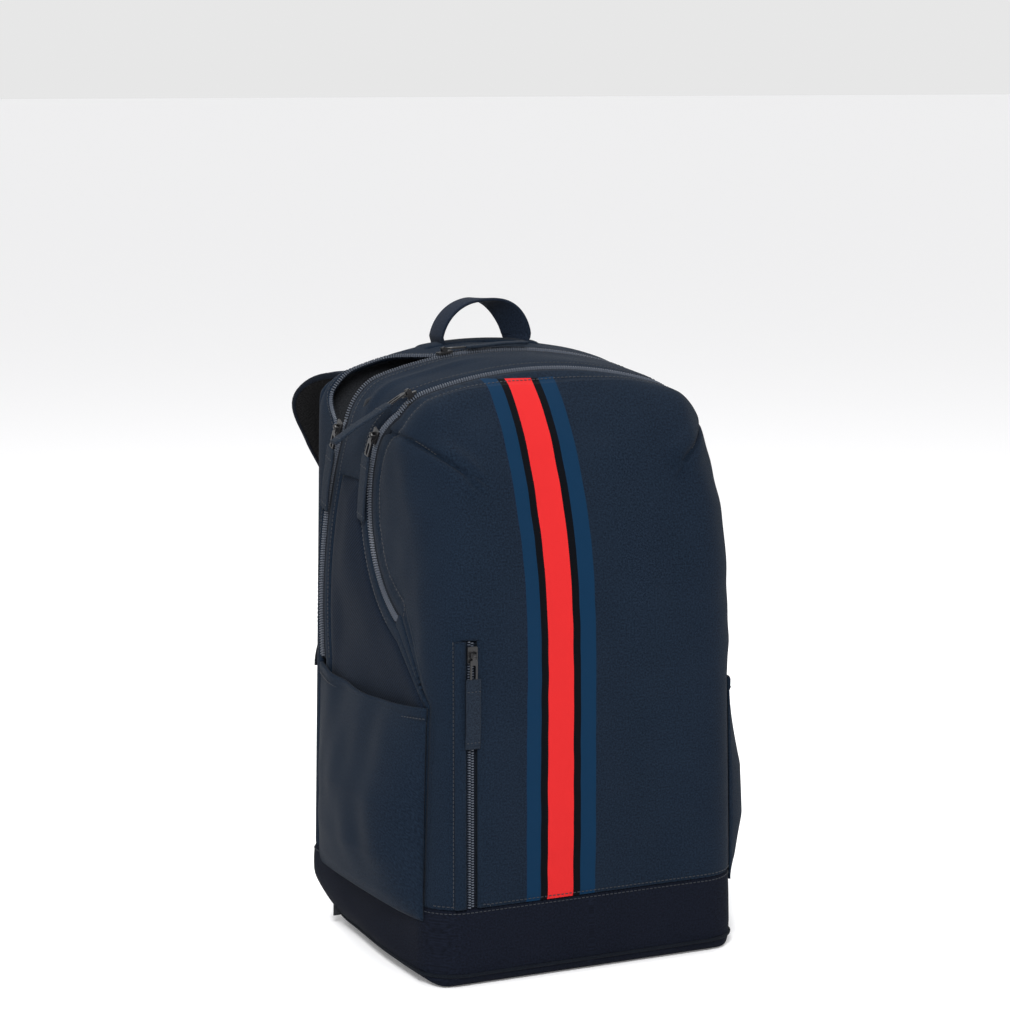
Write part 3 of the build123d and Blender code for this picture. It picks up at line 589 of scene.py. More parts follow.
def gusset_height(p, depth):
    fold = np.exp(-(in_front_of_racket(p, -34.0) / 5.0) ** 2)
    fold = fold * smooth(p[:, 2], 405, 430) * smooth(-p[:, 0], 10, 60)
    return seam_profile(depth, 1.6, 1.3) + 0.8 * ripples(p, 8, 70.0) * smooth(depth, 3, 16) + 2.2 * fold


gusset = fabric("gusset", gusset_inside, gusset_height, face, side_uv, "face_fabric", ["top_gusset"], 0.5)
for name, side in (("left", -1), ("right", 1)):
    fabric(f"side_{name}", lambda p, s=side: np.maximum(twill_edge(p), -s * p[:, 0]),
           lambda p, d: seam_profile(d, 2.2) + 1.0 * ripples(p, 11, 90.0) * smooth(d, 4, 25),
           twill, side_uv, "side_twill", [f"side_panel_{name}"], 0.5)


def rear_inside(p):
    behind_zip = -in_front_of_racket(p, TAPE, opened=True)
    return np.maximum.reduce([behind_zip, p[:, 1] - BACK_SEAM_Y, BASE_TOP - p[:, 2]])


rear = fabric("racket_gusset_cloth", rear_inside,
              lambda p, d: seam_profile(d, 1.2, 1.2) + 0.6 * ripples(p, 15, 60.0) * smooth(d, 3, 12),
              face, side_uv, "face_fabric", ["racket_gusset"], 0.4)
back = fabric("back", lambda p: np.maximum(BACK_SEAM_Y - p[:, 1], BASE_TOP - p[:, 2]),
              lambda p, d: seam_profile(d, 1.0) + 0.6 * ripples(p, 17, 110.0) * smooth(d, 4, 25),
              face, front_uv, "face_fabric", ["back_panel"], 0.5)


def base_height(p, depth):
    return (seam_profile(depth, 1.4, 1.2) + 0.5 * ripples(p, 19, 80.0)) * smooth(p[:, 2], 2, 20) - 0.2


base = fabric("base", lambda p: p[:, 2] - BASE_TOP, base_height, base_cloth, base_uv, "base_fabric",
              ["base_band", "bottom_panel"], 0.7, extra=[lambda p: p[:, 2] - 9.0])


def wedge_inside(p):
    ends = zip_points(MAIN, -TAPE - 1.5)[:2], zip_points(MAIN, TAPE + 1.5)[:2]
    corners = [FRONT_SEAM[1], ends[0][0], ends[0][1], ends[1][1], ends[1][0]]
    return polygon_distance(p[:, 1], p[:, 2], corners)


fabric("zip_end_patch", wedge_inside, lambda p, d: 0.5 - 0.9 * np.exp(-d / 1.5), face, side_uv, "face_fabric",
       [], 0.4, thickness=2.0)


# ---------------------------------------------------------------- lines on the bag
def bag_tree(*pieces):
    """What pieces are made of, for laying things on them."""
    points, faces = [], []
    for piece in pieces:
        start = len(points)
        points += [v.co / MM for v in piece.data.vertices]
        faces += [[start + i for i in f.vertices] for f in piece.data.polygons]
    return BVHTree.FromPolygons(points, faces)


def leave_form(at, count, reach, rounds, gap=0.0):
    """The points at(r) where rays out of the bag leave its form, found by halving."""
    near, far = np.zeros(count), np.full(count, reach)
    for _ in range(rounds):
        r = (near + far) / 2
        p = at(r)
        outside = form(p) > gap
        near, far = np.where(outside, near, r), np.where(outside, r, far)
    return p


def around_top(line, shift, low, spacing, opened=False):
    """Points on the form along a zip's line, from its left end over the top to its right end."""
    path = np.array(zip_points(line, shift, 90))
    angle = np.linspace(-math.pi / 2, math.pi / 2, 400)
    direction = np.stack([np.sin(angle), np.zeros(400), np.cos(angle)], 1)

    def at(r):
        p = direction * r[:, None] + np.array([0, 0, low])
        p[:, 1] = np.interp(p[:, 2], path[:, 1], path[:, 0])
        if opened:
            p[:, 1] += MOUTH_OPEN * mouth_opening(p)
        return p

    return evenly(leave_form(at, 400, 420.0, 26), spacing)


def lines_at(points):
    """Along, across and outward directions of a line on the form."""
    along = unit(np.gradient(points, axis=0))
    up = form_normal(points)
    return along, unit(np.cross(up, along)), up


def stitch_line(name, points, tree, body, pitch=3.4):
    """A row of stitches laid on a piece."""
    points = evenly(np.asarray(points), pitch)
    placed = [tree.find_nearest(Vector(p)) for p in points]
    at = np.array([list(q[0]) for q in placed])
    out = np.array([list(q[1]) for q in placed])
    out = np.where(((out * form_normal(at)).sum(1) < 0)[:, None], -out, out)
    along = unit(np.gradient(at, axis=0))
    fasten(boxes(name, at + out * 0.18, along, unit(np.cross(out, along)), out, STITCH, thread_mat), body)


front_tree, root_tree = bag_tree(front), bag_tree(gusset, base, rear, back)


def on_front(points):
    """Points (x, z) on the front of the form."""
    p = np.array([(x, -180.0, z) for x, z in points])
    for _ in range(30):
        p[:, 1] += form(p) * 0.8
    return p


stitch_line("strip_stitches", around_top(MAIN, -TAPE - STRIP - 2.4, 272.0, 1.0), front_tree, "flap")
stitch_line("gusset_stitches", around_top(MAIN, TAPE + STRIP - 3.0, 262.0, 1.0), root_tree, "root")
stitch_line("racket_stitches", around_top(RACKET, -TAPE - STRIP + 3.0, 216.0, 1.0), root_tree, "root")
stitch_line("rear_stitches", around_top(RACKET, TAPE + 2.5, 216.0, 1.0, opened=True), root_tree, "root")
for name, side in (("left", -1), ("right", 1)):
    ends = on_front([(side * (119.0 - 26.0 * t), 401.8 - 20.8 * t) for t in np.linspace(0, 1, 20)])
    stitch_line(f"dart_stitches_{name}", ends + np.array([0, 0, 1.6]), front_tree, "flap", 3.0)


def around_base(z, spacing, gap=0.0):
    """Points all round the bag at one height, from the middle of the back."""
    angle = np.linspace(0, 2 * math.pi, 720)
    direction = np.stack([np.sin(angle), np.cos(angle), np.zeros(720)], 1)
    middle = np.array([0, -7.0, z])
    p = leave_form(lambda r: direction * r[:, None] + middle, 720, 260.0, 24, gap)
    return p if spacing is None else evenly(p, spacing)


stitch_line("base_stitches", around_base(BASE_TOP - 3.0, 1.0), root_tree, "root")
seam_ring = around_base(BASE_TOP + 3.0, 1.0)
stitch_line("front_base_stitches", seam_ring[seam_ring[:, 1] < -108], front_tree, "root")

piping_path = around_base(9.5, None, 0.5)
out = form_normal(piping_path) * np.array([1, 1, 0])
ring = [(1.3 * math.cos(a), 1.3 * math.sin(a)) for a in np.linspace(0, 2 * math.pi, 9)[:-1]]
piping = sweep("base_piping_cord", piping_path, np.tile([0.0, 0, 1], (len(piping_path), 1)), unit(out), ring,
               [dark_cloth], closed_ends=False)
fasten(piping, "root", "piping", "base_piping")


# ---------------------------------------------------------------- zips
def tape_sheet(name, line, near, far, body, replaced, opened=False):
    """One half of a long zip's tape, the band between two shifts of its middle line.

    The flat size is not the band's own: it is twice as wide and half as long, since a sheet under
    10 mm wide is refused, and the area is the finished mesh's, so it tests nothing.
    """
    made = panel(name, lambda p: tape_band(p, line, near, far, opened),
                 lambda p, d: -1.5 + 0.5 * smooth(d, 0.3, 1.5), [tape_cloth], side_uv,
                 thickness=0.8, rings=(1.0,))
    fasten(made, body, "zip_tape", replaced)


def tooth_row(name, line, low, way, body, replaced, opened=False):
    """One half of a zip's chain; way is -1 in front of its middle line and 1 behind it."""
    middle = around_top(line, 0.0, low, TOOTH_PITCH / 2, opened)[(0 if way < 0 else 1)::2]
    along, across, up = lines_at(middle)
    across = np.where(across[:, 1:2] * way < 0, -across, across)
    row = boxes(name, middle + across * 1.25 - up * 0.25, along, across, up, TOOTH, teeth_mat)
    fasten(row, body, "zip_coil", replaced)


tape_sheet("main_tape_flap", MAIN, -9.0, -0.2, "flap", "flap_zip_tape")
tape_sheet("main_tape_body", MAIN, 0.2, 9.0, "root", "body_zip_tape")
tape_sheet("racket_tape_near", RACKET, -9.0, -0.2, "root", "racket_tape_front")
tape_sheet("racket_tape_far", RACKET, 0.2, 9.0, "root", "racket_tape_back", opened=True)
tooth_row("main_teeth_flap", MAIN, 268.0, -1, "flap", "flap_zip_coil")
tooth_row("main_teeth_body", MAIN, 268.0, 1, "root", "body_zip_coil")
tooth_row("racket_teeth_near", RACKET, 216.0, -1, "root", "racket_coil_front")
tooth_row("racket_teeth_far", RACKET, 216.0, 1, "root", "racket_coil_back", opened=True)

# front pocket zip in its welt
zx, z_low, z_high = POCKET_ZIP
heights = np.arange(z_low, z_high + 1, 3.0)
centre = on_front([(zx, z) for z in heights])
out = form_normal(centre)
right = np.tile([1.0, 0, 0], (len(centre), 1))
flat_tape = [(-9, 0), (9, 0), (9, 0.8), (-9, 0.8)]
tape = sweep("pocket_tape", centre - out * 2.2, right, out, flat_tape, [tape_cloth])
fasten(tape, "root", "zip_tape", "pocket_zip_tape")
for name, way in (("left", -1), ("right", 1)):
    at = evenly(centre, TOOTH_PITCH / 2)[(0 if way < 0 else 1)::2]
    n = form_normal(at)
    down = np.tile([0.0, 0, 1], (len(at), 1))
    side = np.tile([float(way), 0, 0], (len(at), 1))
    row = boxes(f"pocket_teeth_{name}", at + side * 1.25 - n * 0.9, down, side, n, (1.05, 2.5, 1.6),
                teeth_mat)
    fasten(row, "root", "zip_coil", *(["pocket_zip_coil"] if way > 0 else []))
    lip = [(way * (4.6 + 8.6 * t), 1.5 * math.sin(math.pi * min(1, 0.25 + t * 0.75)) ** 0.6 + 0.1)
           for t in np.linspace(0, 1, 9)] + [(way * 13.2, -0.8), (way * 4.6, -0.8)]
    welt = sweep(f"pocket_welt_{name}", centre, right, out, lip if way < 0 else lip[::-1], [face])
    fasten(welt, "root", "binding", *(["pocket_zip_welt"] if way > 0 else []))
    stitch_line(f"panel_stitches_{name}", centre + right * way * 14.6, front_tree, "root", 3.2)
    at = evenly(centre + right * way * 6.0 + out * 0.85, 3.2)
    directions = (np.tile(d, (len(at), 1)) for d in ([0.0, 0, 1], [1.0, 0, 0], [0, -1.0, 0]))
    fasten(boxes(f"welt_stitches_{name}_6", at, *directions, (2.3, 0.7, 0.9), thread_mat), "root")

# ---------------------------------------------------------------- side pockets
POCKET_Y = (-104.0, 84.0)
POCKET_Z = (50.0, 56.0, 66.0, 95.0, 135.0, 172.0, 204.0, 210.0)
POCKET_BULGE = (5.0, 13.0, 20.0, 29.0, 28.0, 18.0, 9.0, 8.0)        # at those heights


def pocket_point(side, t, z):
    """Point on a side pocket, t from its front seam 0 to its rear seam 1."""
    y = POCKET_Y[0] + (POCKET_Y[1] - POCKET_Y[0]) * t
    bulge = np.interp(z, POCKET_Z, POCKET_BULGE)
    shape = (1 - (1 - t) ** 11) * (1 - t ** 4)
    return np.stack([side * (half_width(y, z) + bulge * shape), y, z], -1)


for name, side in (("left", -1), ("right", 1)):
    nt, nz = 64, 56
    t, z = np.meshgrid(np.linspace(0, 1, nt), np.linspace(50, 210, nz), indexing="ij")
    sag = 5.0 * np.sin(np.pi * t) * smooth(z, 150, 210)
    outer = pocket_point(side, t, z - sag).reshape(-1, 3)
    folds = ripples(outer * np.array([0, 1.0, 0.35]), 23, 46.0)
    fade = (np.sin(np.pi * t) ** 0.5 * smooth(z, 60, 110)).ravel()
    outer[:, 0] += side * (1.3 * folds * fade + 0.6 * ripples(outer, 24, 60.0) * fade)
    tris = halved(grid_quads(nt, nz))
    tris = tris if side > 0 else tris[:, ::-1]
    pouch = thick_sheet(f"side_pocket_cloth_{name}", outer, tris, mesh_normals(outer, tris), 1.6,
                        [face, lining_cloth], side_uv(outer))
    fasten(pouch, "root", "pocket_fabric", f"side_pocket_{name}")
    edge = outer.reshape(nt, nz, 3)[:, -1] - np.array([side * 0.8, 0, 0])
    wide = np.tile([0.0, 0, 1.0], (nt, 1))
    hem = [(-9, -1.2), (-9, 1.5), (-4, 1.7), (-1, 1.7), (0.6, 1.2), (0.9, 0), (0.6, -1.2)]
    lean = np.gradient(edge[:, 0]) * -side / np.gradient(edge[:, 1])
    n_edge = unit(np.stack([np.full(nt, float(side)), lean, np.zeros(nt)], 1))
    hem_piece = sweep(f"pocket_hem_{name}", edge, wide, n_edge, hem if side < 0 else hem[::-1], [face])
    fasten(hem_piece, "root", "binding", f"pocket_binding_{name}")
    at = evenly(edge + n_edge * 1.8 - np.array([0, 0, 7.2]), 3.4)
    n_at = np.stack([np.interp(at[:, 1], edge[:, 1], n_edge[:, k]) for k in range(3)], 1)
    along = unit(np.gradient(at, axis=0))
    across = unit(np.cross(n_at, along))
    fasten(boxes(f"hem_stitches_{name}", at, along, across, n_at, (2.4, 0.7, 0.7), thread_mat), "root")


# ---------------------------------------------------------------- straps, handle and webbing
def component_frames(node_name):
    """Each separate slab of a CAD node as (centre, axes long to short, sizes), in millimetres."""
    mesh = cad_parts[node_name].data
    points = np.array([v.co for v in mesh.vertices]) / MM
    group = np.arange(len(points))
    keys = {}
    for i, p in enumerate(np.round(points, 2).tolist()):
        keys.setdefault(tuple(p), []).append(i)
    links = [(f.vertices[0], i) for f in mesh.polygons for i in f.vertices]
    links += [(g[0], i) for g in keys.values() for i in g]
    changed = True
    while changed:
        before = group.copy()
        for a, b in links:
            low = min(group[a], group[b])
            group[a] = group[b] = low
        changed = (before != group).any()
    found = []
    for g in np.unique(group):
        q = np.unique(np.round(points[group == g], 3), axis=0)
        centre = (q.max(0) + q.min(0)) / 2
        _, _, axes = np.linalg.svd(q - q.mean(0), full_matrices=False)
        spans = np.array([np.ptp((q - centre) @ a) for a in axes])
        reach = [(q - centre) @ a for a in axes]
        middle = centre + sum(a * ((r.max() + r.min()) / 2) for a, r in zip(axes, reach))
        order = np.argsort(-spans)
        found.append((middle, axes[order], spans[order]))
    return sorted(found, key=lambda f: -f[2][0])


def ribbon_section(width, thick):
    """Webbing seen from its end: flat with rounded, slightly thinner selvedges."""
    half, t = width / 2, thick / 2
    upper = [(-half, 0), (-half + 0.4, t * 0.8), (-half + 1.5, t),
             (half - 1.5, t), (half - 0.4, t * 0.8), (half, 0)]
    return upper + [(x, -y) for x, y in upper[-2:0:-1]]


def strap_route(side):
    """Centre line of a shoulder strap with its tangent and outward direction."""
    top, foot = np.array([side * 60.0, 112.0, 428.0]), np.array([side * 100.0, 112.0, 48.0])
    down = unit(foot - top)
    wide = unit(np.cross(down, [0.0, 1.0, 0.0]))
    flat, heading, at = [], math.pi / 2, np.array([0.0, 12.5])
    tight, wide_bend = 34.0, 380.0
    parts = ((9.5, 0.0), (tight * math.radians(75), -1 / tight),
             (wide_bend * math.radians(33), -1 / wide_bend))
    for length, bend in parts:
        steps = max(2, int(length / 4))
        for _ in range(steps):
            flat.append((*at, heading))
            heading += bend * length / steps / 2
            at = at + np.array([math.cos(heading), math.sin(heading)]) * length / steps
            heading += bend * length / steps / 2
    flat.append((*at, heading))
    flat = np.array(flat)
    forward = np.array([0.0, 1.0, 0.0])
    path = top + flat[:, :1] * down + flat[:, 1:2] * forward
    tangent = np.cos(flat[:, 2:]) * down + np.sin(flat[:, 2:]) * forward
    outward = unit(np.cross(tangent, wide))
    outward = np.where((outward @ np.array([0, 1.0, 0.3]))[:, None] < 0, -outward, outward)
    return path, tangent, np.tile(wide, (len(path), 1)), outward


STRAP_HALF, STRAP_LENGTH = 33.0, 270.0
STRAP_SPLAY, STRAP_RETURN = 29.0, 15.0       # how far a strap bows out near its top, and in lower down
TAIL_CUT = 0.22                              # share of the loose tail that is left off
for name, side in (("left", -1), ("right", 1)):
    path, tangent, wide, outward = strap_route(side)
    loop_body = f"strap_{name}_loop"
    count, cols = len(path), 30
    run = np.linspace(0, 1, count)
    splay = STRAP_SPLAY * np.exp(-((run - 0.18) / 0.14) ** 2)
    splay -= STRAP_RETURN * smooth(run, 0.32, 0.5) * (1 - smooth(run, 0.82, 1.0))
    path = path + splay[:, None] * np.array([side, 0, 0])
    half = STRAP_HALF - 9.0 * smooth(run, 0.72, 1.0) - 4.0 * (1 - smooth(run, 0.0, 0.10))
    u = np.linspace(-1, 1, cols)
    puff = 1 - np.abs(u) ** 5
    sheet = path[:, None] + wide[:, None] * (u[None, :, None] * half[:, None, None])
    for layer, depth in (("cover", 6.4), ("mesh", -6.8)):
        ends = 0.55 + 0.45 * np.sin(np.pi * run) ** 0.35
        swell = depth * (0.25 + 0.75 * puff[None, :]) * ends[:, None]
        grid = sheet + outward[:, None] * swell[..., None]
        quilting = ripples(grid.reshape(-1, 3), 31 + int(depth), 40.0).reshape(count, cols) * 0.35
        grid = grid + outward[:, None] * (quilting * puff[None, :])[..., None]
        core = sheet + outward[:, None] * (np.sign(depth) * 0.2)
        points = np.concatenate([grid.reshape(-1, 3), core.reshape(-1, 3)])
        n = count * cols
        faces = []
        for i in range(count - 1):
            for j in range(cols - 1):
                a = i * cols + j
                faces.append((a, a + 1, a + cols + 1, a + cols))
                faces.append((n + a, n + a + cols, n + a + cols + 1, n + a + 1))
        loop = [*range(cols)] + [i * cols + cols - 1 for i in range(1, count)]
        loop += [(count - 1) * cols + j for j in range(cols - 2, -1, -1)]
        loop += [i * cols for i in range(count - 2, 0, -1)]
        for a, b in zip(loop, loop[1:] + loop[:1]):
            faces.append((b, a, a + n, b + n))
        uv = np.stack(np.broadcast_arrays(u[None, :] * STRAP_HALF, run[:, None] * STRAP_LENGTH), -1)
        uv = uv.reshape(-1, 2)
        cover = layer == "cover"
        material, slot_name = (strap_cloth, "strap_fabric") if cover else (mesh_cloth, "spacer_mesh")
        piece = add_mesh(f"strap_{layer}_{name}_pad", points, faces, [material], np.concatenate([uv, uv]))
        fasten(piece, loop_body, slot_name, f"strap_{layer}_{name}")
    for edge_side in (-1, 1):
        line = path + wide * (edge_side * half[:, None])
        tube = [(1.7 * math.cos(a), 2.6 * math.sin(a)) for a in np.linspace(0, 2 * math.pi, 11)[:-1]]
        which = "in" if edge_side * side < 0 else "out"
        bound = sweep(f"strap_edge_{name}_{which}", line, wide, outward, tube, [dark_cloth])
        fasten(bound, loop_body, "binding")
    for k, (middle, axes, size) in enumerate(component_frames(f"strap_webbing_{name}")):
        s = np.linspace(-0.5, 0.5 - TAIL_CUT * k, 24)
        line = middle - s[:, None] * axes[0] * np.sign(axes[0][2]) * size[0]
        out = axes[2] * (1 if axes[2][1] > 0 else -1)
        line = line + out * (2.0 * np.sin((s + 0.5) * math.pi * (1 + k)) * (0.6 if k else 0.5))[:, None]
        strap = sweep(f"webbing_{name}_{k}", line, np.tile(axes[1], (24, 1)), np.tile(out, (24, 1)),
                      ribbon_section(WEBBING, 1.8), [webbing_cloth])
        fasten(strap, loop_body, "webbing", *([f"strap_webbing_{name}"] if k == 0 else []))

# grab handle: a webbing loop whose right leg is twisted towards the front
HANDLE_Y, HANDLE_R, HANDLE_CENTRE = 84.0, 35.7, 456.6
HANDLE_SPREAD, HANDLE_TWIST = 1.36, 0.85     # half its arc and the turn of its right leg, radians
LEG_X, LEG_Z = 33.5, 458.6
s = np.linspace(-1, 1, 61)
bow = np.stack([HANDLE_R * np.sin(s * HANDLE_SPREAD), np.full(61, HANDLE_Y),
                HANDLE_CENTRE + HANDLE_R * np.cos(s * HANDLE_SPREAD)], 1)
leg = np.linspace(1, 0, 6)[:-1, None]
left_leg = bow[0] + leg * (np.array([-LEG_X, HANDLE_Y, LEG_Z]) - bow[0])
right_leg = bow[-1] + leg[::-1] * (np.array([LEG_X, HANDLE_Y, LEG_Z]) - bow[-1])
path = np.concatenate([left_leg, bow, right_leg])
tangent = unit(np.gradient(path, axis=0))
twist = [np.zeros(5), -HANDLE_TWIST * smooth(s, -0.1, 0.9), -HANDLE_TWIST * np.linspace(1, 0.5, 5)]
turn = np.concatenate(twist)[:, None]
depth = np.tile([0.0, 1.0, 0.0], (len(path), 1))
across = np.cross(tangent, depth)
wide = unit(depth * np.cos(turn) + across * np.sin(turn))
handle = sweep("handle_webbing", path, wide, unit(np.cross(wide, tangent)), ribbon_section(WEBBING, 2.4),
               [webbing_cloth])
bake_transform(handle)
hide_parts("grab_handle")


def patch_inside(facing, past, x, half_x, along, middle, half):
    """Outline of a patch on the bag past a level, with its mirror image unless x is 0."""
    def inside(p):
        outline = np.maximum(np.abs(np.abs(p[:, 0]) - x) - half_x, np.abs(p[:, along] - middle) - half)
        return np.where(p[:, facing] > past, outline, 9.0)
    return inside


patch = panel("handle_patch_cloth", patch_inside(2, 400, 0, 50, 1, HANDLE_Y, 13),
              lambda p, d: 2.2 - 1.2 * np.exp(-d / 1.2), [face], side_uv, thickness=1.4)
fasten(patch, "root", "binding", "handle_patch")

# the patches over the straps' upper ends: the CAD's, with their edges softened
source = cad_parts["strap_anchors"].data
points = np.array([v.co for v in source.vertices]) / MM
patch = add_mesh("strap_root_patch", points, [tuple(f.vertices) for f in source.polygons], [webbing_cloth],
                 front_uv(points), flat=True)
merge = patch.modifiers.new("merge", "WELD")
merge.merge_threshold = 0.00002
bevel = patch.modifiers.new("soft", "BEVEL")
bevel.width, bevel.segments = 0.6 * MM, 2
bevel.limit_method, bevel.angle_limit = "ANGLE", math.radians(40)
fasten(patch, "root", "webbing", "strap_anchors")

patch = panel("webbing_root_patch", patch_inside(1, 80, 101, 17, 2, 50, 15),
              lambda p, d: 2.0 - 1.0 * np.exp(-d / 1.2), [base_cloth], front_uv, thickness=1.2)
fasten(patch, "root", "webbing", "webbing_anchors")


def cushion(name, node_name, x, z, size, thick, index):
    """A padded back cushion: crowned, with rounded corners and moulded channels."""
    nu, nv = int(size[0] / 3), int(size[1] / 3)
    u, v = (np.linspace(-0.5, 0.5, n) * length for n, length in ((nu, size[0]), (nv, size[1])))
    u, v = np.meshgrid(u, v, indexing="ij")
    flat = np.zeros((nu * nv, 6))
    flat[:, 0], flat[:, 1], flat[:, 2], flat[:, 4] = x + u.ravel(), 108.4, z + v.ravel(), 1.0
    mesh = flat, halved(grid_quads(nu, nv))[:, [0, 2, 1]]

    def outline(p, corner=14.0):
        """Distance from the cushion's outline, a rectangle with rounded corners."""
        du = np.abs(p[:, 0] - x) - size[0] / 2 + corner
        dv = np.abs(p[:, 2] - z) - size[1] / 2 + corner
        edge = np.hypot(np.maximum(du, 0), np.maximum(dv, 0)) + np.minimum(np.maximum(du, dv), 0)
        return edge - corner + 0.4

    mesh = split(mesh, outline(mesh[0]))
    for ring in (1.0, 2.5, 5.0, 8.0):
        mesh = split(mesh, outline(mesh[0]) + ring, both=True)
    points, tris = mesh[0][:, :3].copy(), mesh[1]
    depth = -outline(points)
    beside = ((points[:, 2] - z) / 27.0 + 0.5) % 1.0 - 0.5
    rise = thick * np.sqrt(1 - (1 - np.clip(depth / 13.0, 0, 1)) ** 2)
    points[:, 1] += rise - 2.2 * np.exp(-(beside / 0.07) ** 2) * smooth(depth, 4, 12)
    normals = np.tile([0.0, 1.0, 0.0], (len(points), 1))
    piece = thick_sheet(f"{name}_{index}", points, tris, normals, 0.6, [mesh_cloth], front_uv(points))
    fasten(piece, "root", "spacer_mesh", *([node_name] if index == 0 else []))


for k, x in enumerate((-48.0, 48.0)):
    cushion("back_pad", "back_pads", x, 272.0, (64.0, 244.0), 9.0, k)
cushion("lumbar", "lumbar_pad", 0.0, 102.0, (156.0, 72.0), 9.0, 0)


# ---------------------------------------------------------------- lining inside
def lining_sheet(name, nodes, points, wave, seed):
    """A sheet of lining over a grid of points (rows, columns), gently waved along y."""
    rows, cols = points.shape[:2]
    flat_points = points.reshape(-1, 3).copy()
    flat_points[:, 1] += wave * ripples(flat_points, seed, 90.0)
    tris = halved(grid_quads(rows, cols))
    normals = mesh_normals(flat_points, tris)
    piece = thick_sheet(name, flat_points, tris, normals, 1.2, [lining_cloth], front_uv(flat_points))
    fasten(piece, "root", "lining", *nodes)


# the divider stands upright, then follows the racket zip's arc a little in front of it
DIVIDER_Y, DIVIDER_GAP = 67.0, 13.0
z = np.linspace(8, 440, 60)
(arc_y, arc_z), arc_r = RACKET["centre"], RACKET["radius"] - DIVIDER_GAP
y = np.where(z < 214, DIVIDER_Y, arc_y + np.sqrt(arc_r ** 2 - (z - arc_z) ** 2))


def inner_half_width(y, z):
    roof = CROWN_RADIUS ** 2 - max(0, z - crown_z(y) + CROWN_RADIUS) ** 2
    return min(half_width(y, z), math.sqrt(max(0, roof))) - 5


widths = np.array([inner_half_width(b, a) for a, b in zip(z, y)])
grid = np.stack([np.linspace(-1, 1, 40)[None, :] * widths[:, None], np.repeat(y[:, None], 40, 1),
                 np.repeat(z[:, None], 40, 1)], -1)
lining_sheet("divider_cloth", ["divider_panel"], grid, 0.8, 41)
gx, gz = np.meshgrid(np.linspace(-112, 112, 40), np.linspace(8.5, 291, 50))
grid = np.stack([gx, np.full_like(gx, 51.0), gz], -1)
lining_sheet("sleeve_cloth", ["laptop_sleeve", "sleeve_binding"], grid, 0.6, 43)
gx, gz = np.meshgrid(np.linspace(-1, 1, 36), np.linspace(-1, 1, 36))
depth = 13.0 * (1 - np.maximum(np.abs(gx), np.abs(gz)) ** 6)
grid = np.stack([gx * 85 - 1, -117.4 + depth, gz * 91 + 157], -1)
lining_sheet("pouch_cloth", ["front_pocket_pouch"], grid, 0.3, 47)


# ---------------------------------------------------------------- sliders and pulls
def repaint(node_name, material):
    """Give a CAD node that stays as it is its material."""
    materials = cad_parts[node_name].data.materials
    materials.clear()
    materials.append(material)


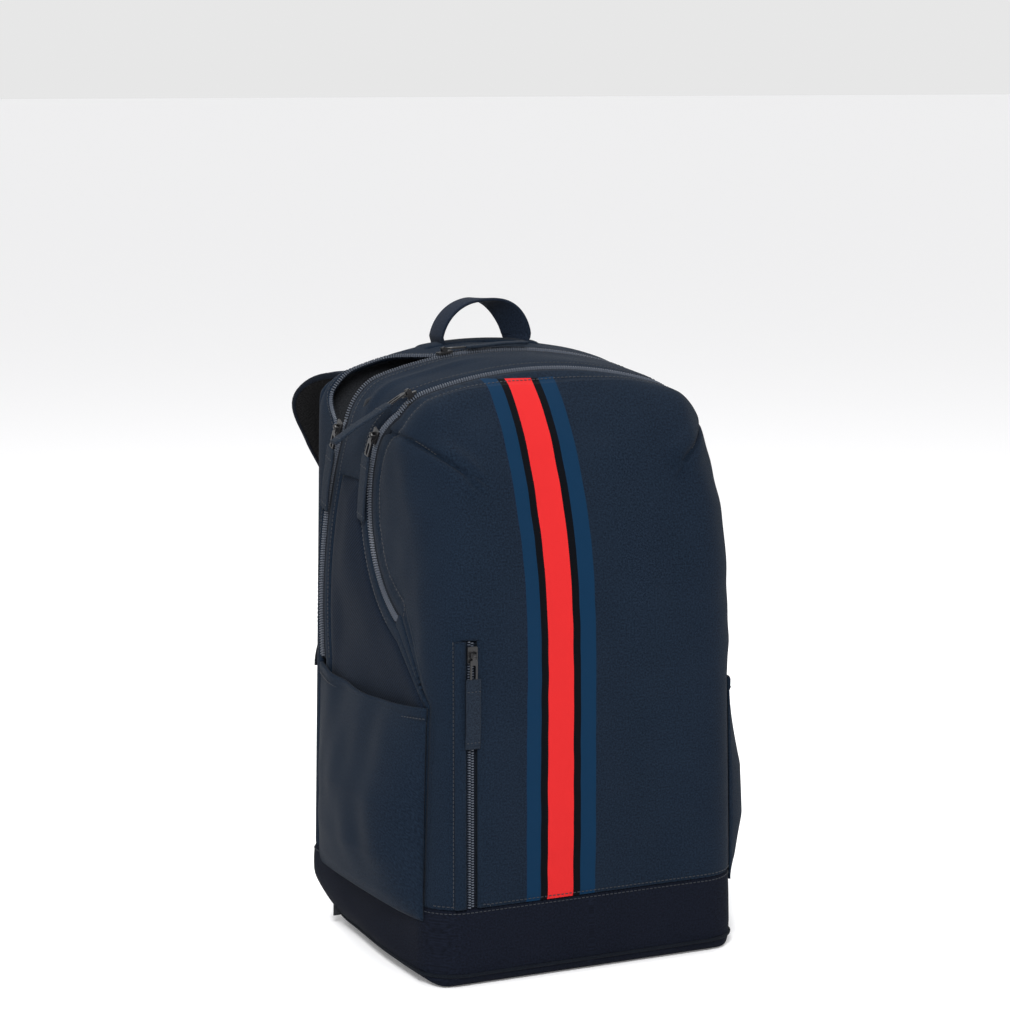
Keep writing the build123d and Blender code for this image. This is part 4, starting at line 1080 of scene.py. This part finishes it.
TUCK = 0.09                       # share of a pull tab that lies folded round its link
for name in ("main_upper", "main_lower", "racket_top", "racket_side", "pocket"):
    for part in ("slider", "link"):
        repaint(f"{name}_{part}", metal_mat)
    middle, axes, size = component_frames(f"{name}_tab")[0]
    link_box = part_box(f"{name}_link")
    link_centre = np.array(list((link_box[0] + link_box[1]) / 2)) / MM
    down = axes[0] if (middle - link_centre) @ axes[0] > 0 else -axes[0]
    start = middle - down * size[0] / 2
    out = axes[2] if form_normal(middle[None])[0] @ axes[2] > 0 else -axes[2]
    s = np.linspace(-TUCK, 1, 30)
    line = start + s[:, None] * down * size[0] + out * (0.9 * np.sin(s * math.pi) * np.sin(s * 2.2))[:, None]
    thick = np.interp(s, [-TUCK, 0.0, 0.16, 0.18, 0.84, 0.86, 1.0], [0.7, 1.35, 1.35, 1.0, 1.0, 1.25, 1.25])
    section = ribbon_section(12.0, 2.0)
    tab = sweep(f"{name}_tab_webbing", line, np.tile(axes[1], (30, 1)), np.tile(out, (30, 1)), section,
                [tab_cloth])
    co = np.array([v.co for v in tab.data.vertices]) / MM
    ring_of = np.arange(len(co)) // len(section)
    offset = (co - line[ring_of]) @ out
    co += out[None] * (offset * (thick[ring_of] - 1))[:, None]
    tab.data.vertices.foreach_set("co", (co * MM).astype(np.float32).ravel())
    fasten(tab, f"{name}_pull", "pull_webbing", f"{name}_tab")
    for k, place in enumerate((0.10, 0.90)):
        spots = start + down * size[0] * place + np.linspace(-4.4, 4.4, 4)[:, None] * axes[1] + out * 1.5
        directions = (np.tile(d, (4, 1)) for d in (axes[1], down, out))
        row = boxes(f"{name}_tab_stitches_{k}", spots, *directions, (1.7, 0.7, 0.5), thread_mat)
        fasten(row, f"{name}_pull")
for name in ("left", "right"):
    repaint(f"ladder_lock_{name}", buckle_mat)


# ---------------------------------------------------------------- stage, light and camera
def area_light(name, place, target, size, power):
    data = bpy.data.lights.new(name, "AREA")
    data.shape, data.size, data.energy = "DISK", size, power
    lamp = bpy.data.objects.new(name, data)
    bpy.context.scene.collection.objects.link(lamp)
    lamp.location = place
    lamp.rotation_euler = (Vector(target) - Vector(place)).to_track_quat("-Z", "Y").to_euler()


floor_mesh = bpy.data.meshes.new("floor")
floor_mesh.from_pydata([(-60, -60, 0), (60, -60, 0), (60, 60, 0), (-60, 60, 0)], [], [(0, 1, 2, 3)])
floor_mat, _, floor_shader = principled("floor", (0.92, 0.92, 0.93), 0.9)
floor_shader.inputs["Emission Color"].default_value = (1, 1, 1, 1)
floor_shader.inputs["Emission Strength"].default_value = 0.12
floor_mesh.materials.append(floor_mat)
floor = bpy.data.objects.new("floor", floor_mesh)
floor.location.z = -0.0005
bpy.context.scene.collection.objects.link(floor)

world = bpy.data.worlds.new("studio")
world.use_nodes = True
world.node_tree.nodes["Background"].inputs["Color"].default_value = (1, 1, 1, 1)
world.node_tree.nodes["Background"].inputs["Strength"].default_value = 0.8
bpy.context.scene.world = world
area_light("key", (-0.85, -1.6, 1.35), (-0.05, 0, 0.3), 0.6, 44)
area_light("top", (-0.2, 0.5, 2.2), (0, 0, 0.4), 1.2, 35)
area_light("fill", (2.0, -1.2, 0.9), (0, 0, 0.25), 1.5, 8)
bpy.context.scene.view_settings.view_transform = "Standard"

camera_data = bpy.data.cameras.new("camera")
camera_data.lens, camera_data.sensor_width = 101.4, 36.0
camera = bpy.data.objects.new("camera", camera_data)
camera.location = (-0.941, -1.971, 0.674)
camera.rotation_euler = (math.radians(81.27), 0, math.radians(-25.18))
bpy.context.scene.collection.objects.link(camera)
bpy.context.scene.camera = camera
